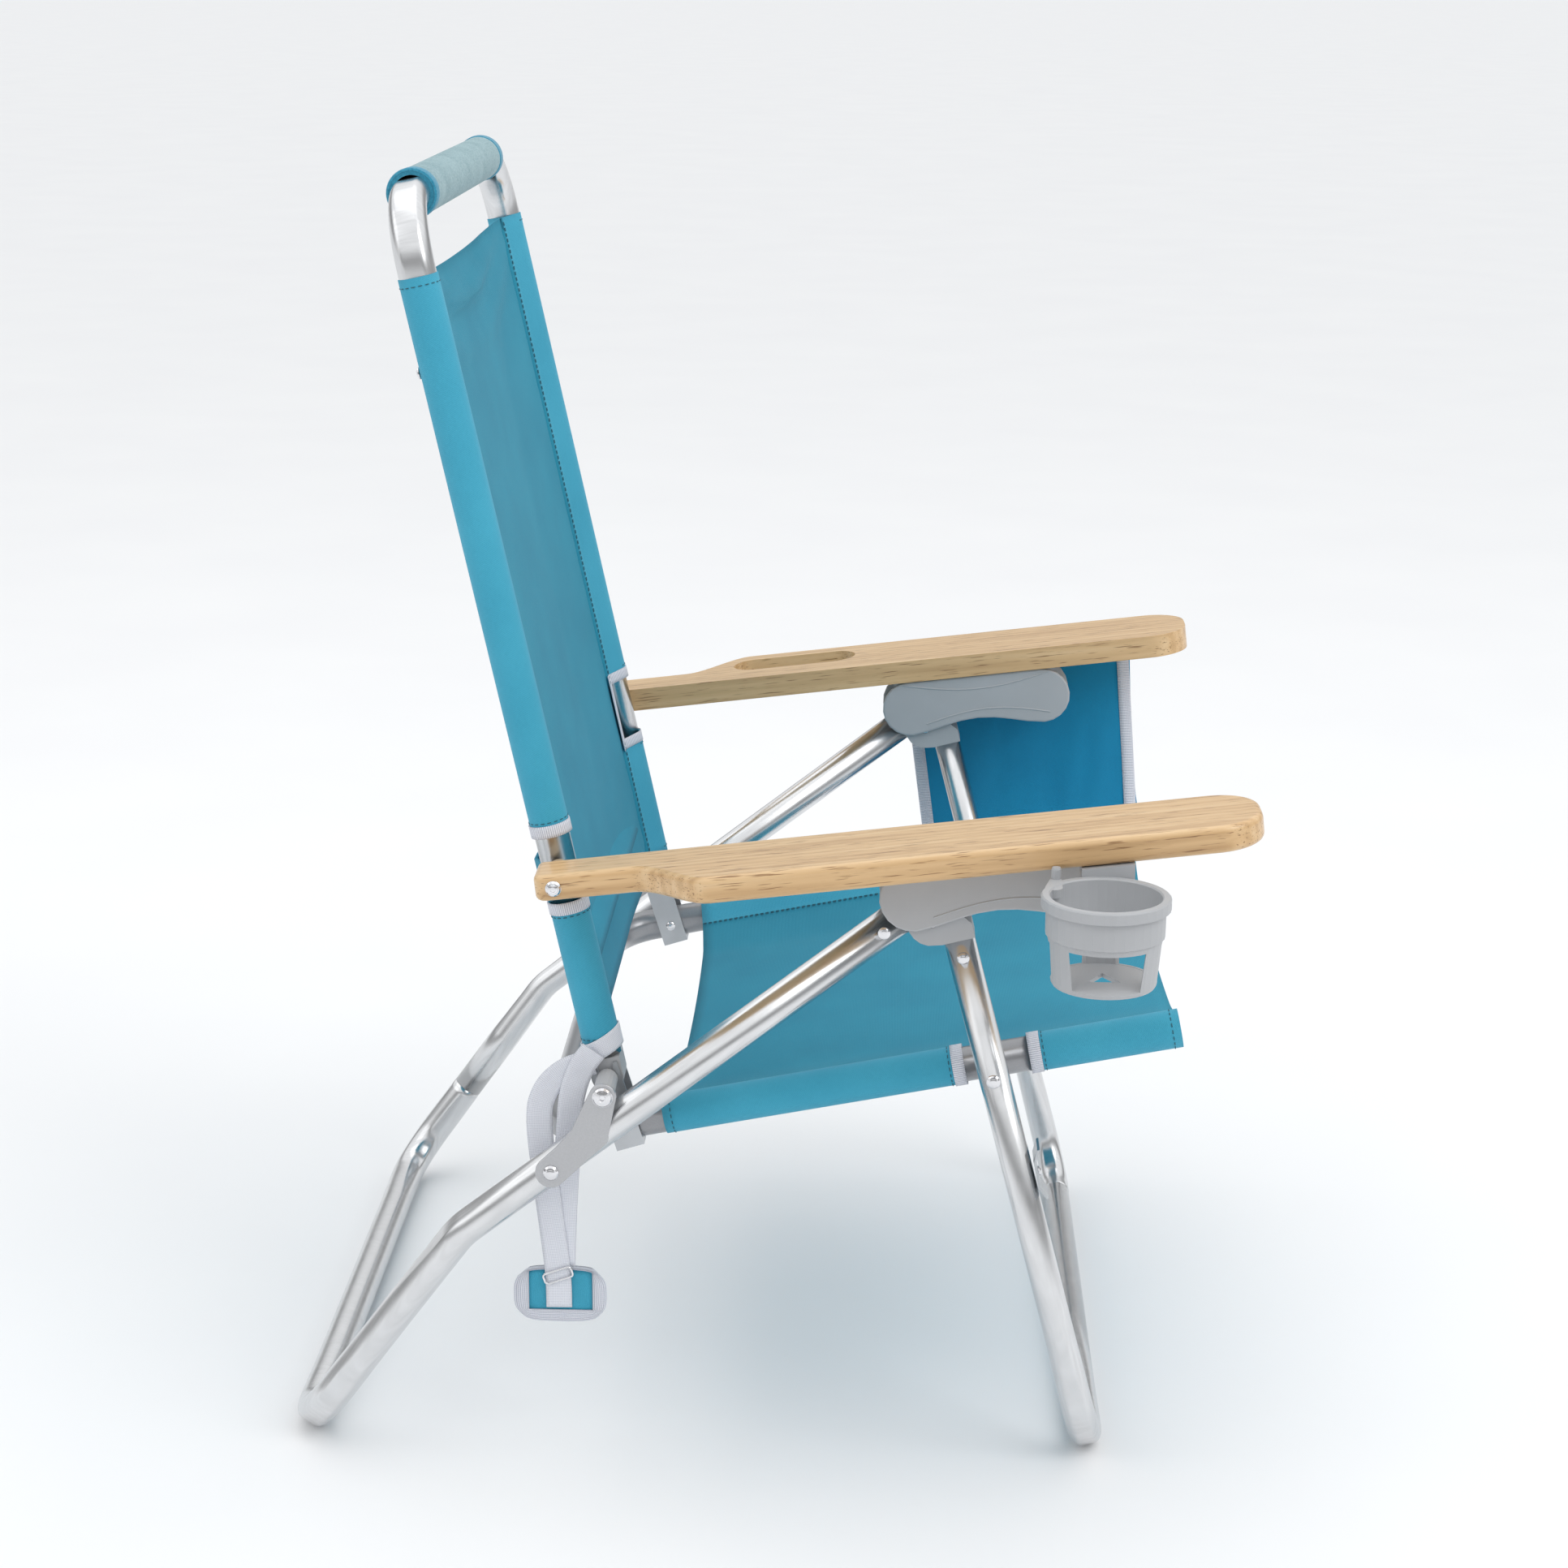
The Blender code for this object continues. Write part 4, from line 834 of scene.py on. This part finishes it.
def make_washers(paint):
    """Tan washers on the arm bolts, between the back tubes and the armrests."""
    for name, side in SIDES:
        low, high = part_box(f"arm_bolt_{name}")
        centre = (low + high) / 2
        centre.x = MIDDLE + side * (SLING_X + SEAT_TUBE + 0.0006)
        ring = [(0.0032, 0), (0.0085, 0), (0.0088, 0.0003), (0.0088, 0.0024), (0.0085, 0.0027),
                (0.0032, 0.0027)]
        washer = lathe(f"arm_washer_{name}", ring, centre, Vector((side, 0, 0)), paint["tan"])
        attach(washer, "arm_pivots", "grey_plastic")


# Pouches

def pocket(name, corners, paint, depth):
    """Sewn pocket: two walls that meet at the sides and bottom, and open at the top.

    corners are the top rear, top front, bottom front and bottom rear points of its flat outline,
    and depth is a function of the two shares that gives each wall's offset from the outline.
    """
    top_rear, top_front, low_front, low_rear = corners
    rows = []
    for j in range(POCKET_LEVELS + 1):
        down = j / POCKET_LEVELS
        row = []
        for wall in (1, -1):
            steps = range(POCKET_COLUMNS + 1) if wall > 0 else range(POCKET_COLUMNS - 1, 0, -1)
            for i in steps:
                share = i / POCKET_COLUMNS
                high = top_rear.lerp(top_front, share)
                low = low_rear.lerp(low_front, share)
                row.append(high.lerp(low, down) + depth(share, down, wall))
        rows.append(row)
    return grid(name, rows, paint, closed=True)


def make_side_pouch(paint):
    """Blue bag hung under the left armrest, with white binding down its rear and front edges."""
    low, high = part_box("side_pouch")
    middle = (low.x + high.x) / 2 - MIDDLE
    top = -ARM_THICK / 2 - 0.0006
    outline = (arm_point(0.247, top), arm_point(0.443, top), (0.647, 0.335), (0.462, 0.302))
    corners = [at(middle, *corner) for corner in outline]

    def depth(share, down, wall):
        edge = sin(pi * share) ** 0.55
        belly = 0.0022 + 0.0042 * smooth(down * 1.6) * (1 - smooth((down - 0.72) / 0.28))
        fold = 0.0012 * sin(9.0 * share + 5.0 * down) * sin(pi * share) * sin(pi * down)
        droop = -0.012 * sin(pi * share) * down
        closing = 1 - smooth((down - 0.90) / 0.10)
        return Vector((wall * (belly * edge * closing + 0.0003) + fold, 0, droop))

    bag = pocket("side_bag", corners, paint["pouch"], depth)
    simulate(bag, lambda spot: spot.z > 0.42, grow=0.004, cap=0.007)
    solidify(bag, SHEET)
    attach(bag, "arms", "pouch_cloth", "side_pouch")
    for name, column in (("rear", 0), ("front", POCKET_COLUMNS)):
        rows_down = range(POCKET_LEVELS + 1)
        edge = [bag.data.vertices[2 * POCKET_COLUMNS * row + column].co.copy() for row in rows_down]
        inward = 1 if column == 0 else -1
        rows = [[spot + Vector((x, -s * inward, 0)) for x, s in
                 ((-0.0030, 0.0090), (-0.0026, 0.0045), (-0.0012, -0.0004), (0.0, -0.0014), (0.0012, -0.0004),
                  (0.0026, 0.0045), (0.0030, 0.0090))] for spot in edge]
        band = solidify(grid(f"side_bag_binding_{name}", rows, paint["white"]), 0.0007)
        attach(band, "arms", "webbing")


def make_rear_pouch(paint):
    """Wide pocket sewn to the rear of the back panel, its mouth standing a little open."""
    half = 0.205
    low, high = 0.058, 0.150

    def place(share, up):
        x = half * (2 * share - 1)
        edge = min(1.0, 4.5 * (1 - abs(2 * share - 1)) + 0.10 * up)
        lift = 0.0022 + (0.0245 * smooth(up * 1.5) + 0.003 * sin(3 * pi * share) * up) * edge
        spot = low + (high - low) * up - 0.010 * up * sin(pi * share)
        return at(x, *back_point(spot, lift + 0.012 * up * (1 - edge)))

    rows = [[place(i / 40, j / 12) for i in range(41)] for j in range(13)]
    pouch = grid("rear_pocket", rows, paint["cloth"])
    solidify(pouch, SHEET)
    attach(pouch, "back_frame", "teal_cloth", "rear_pouch")
    lip = ((-0.009, 0.0010), (0.0006, 0.0011), (0.0012, 0.0), (0.0006, -0.0011), (-0.009, -0.0010))
    rim = [[place(i / 40, 1.0) + direction(BACK_ANGLE) * up + direction(BACK_ANGLE + pi / 2) * out
            for up, out in lip] for i in range(41)]
    band = solidify(grid("rear_pocket_binding", rim, paint["cloth"]), 0.0006)
    attach(band, "back_frame", "teal_cloth")


# Carry strap

def ribbon(name, points, width, across, paint):
    """Webbing band along side-view points; across gives its distance from the middle of the chair."""
    spots = curve_through(points, 40)
    rows = []
    for i, spot in enumerate(spots):
        ahead, behind = spots[min(i + 1, len(spots) - 1)], spots[max(i - 1, 0)]
        angle = atan2(ahead[1] - behind[1], ahead[0] - behind[0])
        rows.append([at(across(i / 40), *along(spot, angle, 0, width * (0.5 - k / 6))) for k in range(7)])
    return solidify(grid(name, rows, paint), 0.0011)


def make_strap(paint):
    """Webbing that wraps the right back tube and hangs as two runs with a slider and a pad."""
    front = [(0.2165, 0.3125), (0.2075, 0.2990), (0.2010, 0.2790), (0.1985, 0.2550), (0.1945, 0.2000),
             (0.1920, 0.1440)]
    rear = [(0.2160, 0.3030), (0.1960, 0.2960), (0.1810, 0.2800), (0.1765, 0.2560), (0.1820, 0.2000),
            (0.1885, 0.1420), (0.1895, 0.1110)]

    def goes_behind(share):
        return -STRAP_X - 0.0010 + 0.0020 * smooth((share - 0.45) / 0.25)

    def comes_over(share):
        return -STRAP_X + 0.0010 - 0.0012 * smooth((share - 0.40) / 0.22)

    for name, points, place in (("front", front, goes_behind), ("rear", rear, comes_over)):
        band = ribbon(f"strap_{name}", points, WEBBING, place, paint["webbing"])
        attach(band, "carry_strap", "webbing", f"strap_{name}_run")
    radius, half, middle, slope = 0.0150, 0.0075, 0.0230, 0.0052
    rows = []
    for n in range(7):
        row = []
        for angle in (2 * pi * k / 48 for k in range(49)):
            shift = middle + half * (n / 3 - 1) - slope * cos(angle)
            row.append(at(-SLING_X + radius * sin(angle), *back_point(shift, radius * cos(angle))))
        rows.append(row)
    wrap = solidify(grid("strap_loop", rows, paint["webbing"]), 0.0011)
    attach(wrap, "back_frame", "webbing", "strap_wrap")
    make_strap_pad(paint)
    make_slider(paint)


def pad_outline():
    """Rounded eight-sided outline of the shoulder pad from its centre, once round from the top edge."""
    wide, high, cut = 0.0338, 0.0212, 0.0105
    corners = [(-wide + cut, high), (-wide, high - cut), (-wide, -high + cut), (-wide + cut, -high),
               (wide - cut, -high), (wide, -high + cut), (wide, high - cut), (wide - cut, high)]
    points = []
    for i, (a, b) in enumerate(corners):
        before, after = corners[i - 1], corners[(i + 1) % 8]
        for k in range(7):
            t = k / 6
            start = (a + (before[0] - a) * 0.35, b + (before[1] - b) * 0.35)
            end = (a + (after[0] - a) * 0.35, b + (after[1] - b) * 0.35)
            points.append(tuple((1 - t) ** 2 * start[n] + 2 * t * (1 - t) * (a, b)[n] + t * t * end[n]
                                for n in range(2)))
    return points


def make_strap_pad(paint):
    low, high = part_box("strap_pad")
    centre = (low + high) / 2 + Vector((0.0014, 0, 0))
    outline = pad_outline()
    rings = 9
    rows = []
    for wall in (1, -1):
        order = range(rings) if wall > 0 else range(rings - 1, -1, -1)
        for k in order:
            share = (k + 0.02) / (rings - 1 + 0.02)
            height = 0.0026 * (1 - share ** 3) ** 0.6
            rows.append([centre + Vector((wall * height, -a * share, b * share)) for a, b in outline])
    cushion = grid("shoulder_pad", rows, paint["sleeve"], closed=True)
    attach(cushion, "carry_strap", "teal_cloth", "strap_pad")
    section = ((-0.0034, 1.0), (-0.0026, 0.5), (-0.0014, 0.08), (0.0, -0.03), (0.0014, 0.08), (0.0026, 0.5),
               (0.0034, 1.0))
    rim = []
    for a, b in outline:
        inner_a, inner_b = max(-0.0228, min(0.0240, a)), max(-0.0108, b)
        rim.append([centre + Vector((x, -a - (inner_a - a) * s, b + (inner_b - b) * s)) for x, s in section])
    edge = solidify(grid("shoulder_pad_binding", [list(row) for row in zip(*rim)], paint["white"]), 0.0007)
    attach(edge, "carry_strap", "webbing")


def make_slider(paint):
    """Wire slide buckle, tilted a little as the webbing pulls it."""
    low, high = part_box("strap_slider")
    centre = (low + high) / 2 + Vector((0.0012, 0.0045, 0))
    tilt = radians(20)
    wide, tall, turn = 0.0108, 0.0040, 0.0022
    corners = [(wide, -tall), (wide, tall), (-wide, tall), (-wide, -tall)]
    loop = []
    for (a, b), start in zip(corners, (-90, 0, 90, 180)):
        middle = (a - turn if a > 0 else a + turn, b - turn if b > 0 else b + turn)
        loop += arc(middle, turn, start, start + 90, 5)
    rows = []
    sides = 10
    for i, (a, b) in enumerate(loop):
        before, after = loop[i - 1], loop[(i + 1) % len(loop)]
        heading = atan2(after[1] - before[1], after[0] - before[0])
        row = []
        for k in range(sides):
            angle = 2 * pi * k / sides
            a_out = a + 0.0009 * cos(angle) * sin(heading)
            b_out = b - 0.0009 * cos(angle) * cos(heading)
            ahead = a_out * cos(tilt) - b_out * sin(tilt)
            up = a_out * sin(tilt) + b_out * cos(tilt)
            row.append(centre + Vector((0.0009 * sin(angle) - 0.0008, -ahead, up)))
        rows.append(row)
    rows.append(rows[0])
    buckle = grid("slide_buckle", rows, paint["chrome"], closed=True)
    attach(buckle, "carry_strap", "bright_steel", "strap_slider")


# CAD pieces that keep their shape

def dress_frame(paint):
    finishes = {"grey_paint": "paint", "bright_steel": "steel", "rivet_steel": "chrome",
                "grey_plastic": "plastic", "polished_tube": "tube", "oak": "oak", "teal_cloth": "cloth",
                "pouch_cloth": "pouch", "foam": "foam", "webbing": "webbing"}
    for part in frame["record"]["subparts"]:
        node = frame["nodes"][part["node"]]
        key = finishes[part["material_slot"]]
        if part["node"].startswith("link_plate"):
            key = "plate"
        node.data.materials.clear()
        node.data.materials.append(paint[key])
        if key == "plastic":
            bevel(node, 0.0006, 2)


# Stage

def make_floor():
    mesh = bmesh.new()
    corners = [(-FLOOR_HALF, -FLOOR_HALF), (FLOOR_HALF, -FLOOR_HALF), (FLOOR_HALF, FLOOR_HALF),
               (-FLOOR_HALF, FLOOR_HALF)]
    mesh.faces.new([mesh.verts.new((x, y, 0)) for x, y in corners])
    made = Shader("pale_floor", 0.65)
    grain = made.noise(made.place(), 3.0, 2)
    made.colour(made.ramp(grain, [(0.2, (0.86, 0.865, 0.875)), (0.8, (0.885, 0.89, 0.895))]))
    finish("floor", mesh, made.material)


def make_sky():
    """Pale sky with one darker band above the horizon, which the tubes reflect as a dark streak."""
    world = bpy.data.worlds.new("studio")
    bpy.context.scene.world = world
    world.use_nodes = True
    tree = world.node_tree
    where = tree.nodes.new("ShaderNodeTexCoord")
    split = tree.nodes.new("ShaderNodeSeparateXYZ")
    shade = tree.nodes.new("ShaderNodeValToRGB")
    tree.links.new(where.outputs["Generated"], split.inputs[0])
    tree.links.new(split.outputs["Z"], shade.inputs[0])
    while len(shade.color_ramp.elements) < len(SKY):
        shade.color_ramp.elements.new(0.5)
    for element, (height, level) in zip(shade.color_ramp.elements, SKY):
        element.position = height
        element.color = (level, level * 1.01, level * 1.02, 1)
    tree.links.new(shade.outputs[0], tree.nodes["Background"].inputs["Color"])
    tree.nodes["Background"].inputs["Strength"].default_value = SKY_STRENGTH


def make_lamps():
    for name, spot, size, energy in LAMPS:
        lamp = bpy.data.lights.new(name, "AREA")
        lamp.size = size
        lamp.energy = energy
        light = bpy.data.objects.new(name, lamp)
        light.location = spot
        light.rotation_euler = (LAMPS_AIM - Vector(spot)).to_track_quat("-Z", "Y").to_euler()
        bpy.context.scene.collection.objects.link(light)


def make_camera():
    forward = Vector(CAMERA_TOWARDS).normalized()
    right = forward.cross(Vector((0, 0, 1))).normalized()
    up = right.cross(forward)
    turned_right = right * cos(CAMERA_ROLL) + up * sin(CAMERA_ROLL)
    turned_up = up * cos(CAMERA_ROLL) - right * sin(CAMERA_ROLL)
    lens = bpy.data.cameras.new("camera")
    lens.lens = CAMERA_LENS
    lens.sensor_width = 36
    camera = bpy.data.objects.new("camera", lens)
    camera.matrix_world = (Matrix.Translation(CAMERA_AT)
                           @ Matrix((turned_right, turned_up, -forward)).transposed().to_4x4())
    bpy.context.scene.collection.objects.link(camera)
    bpy.context.scene.camera = camera


def main():
    paint = make_materials()
    bpy.context.scene.view_settings.view_transform = "Standard"
    make_camera()
    make_floor()
    make_sky()
    make_lamps()
    dress_frame(paint)
    make_tubes(paint)
    make_grip(paint)
    make_slings(paint)
    make_armrests(paint)
    make_housing_lines(paint)
    make_fasteners(paint)
    make_washers(paint)
    make_side_pouch(paint)
    make_rear_pouch(paint)
    make_strap(paint)


main()
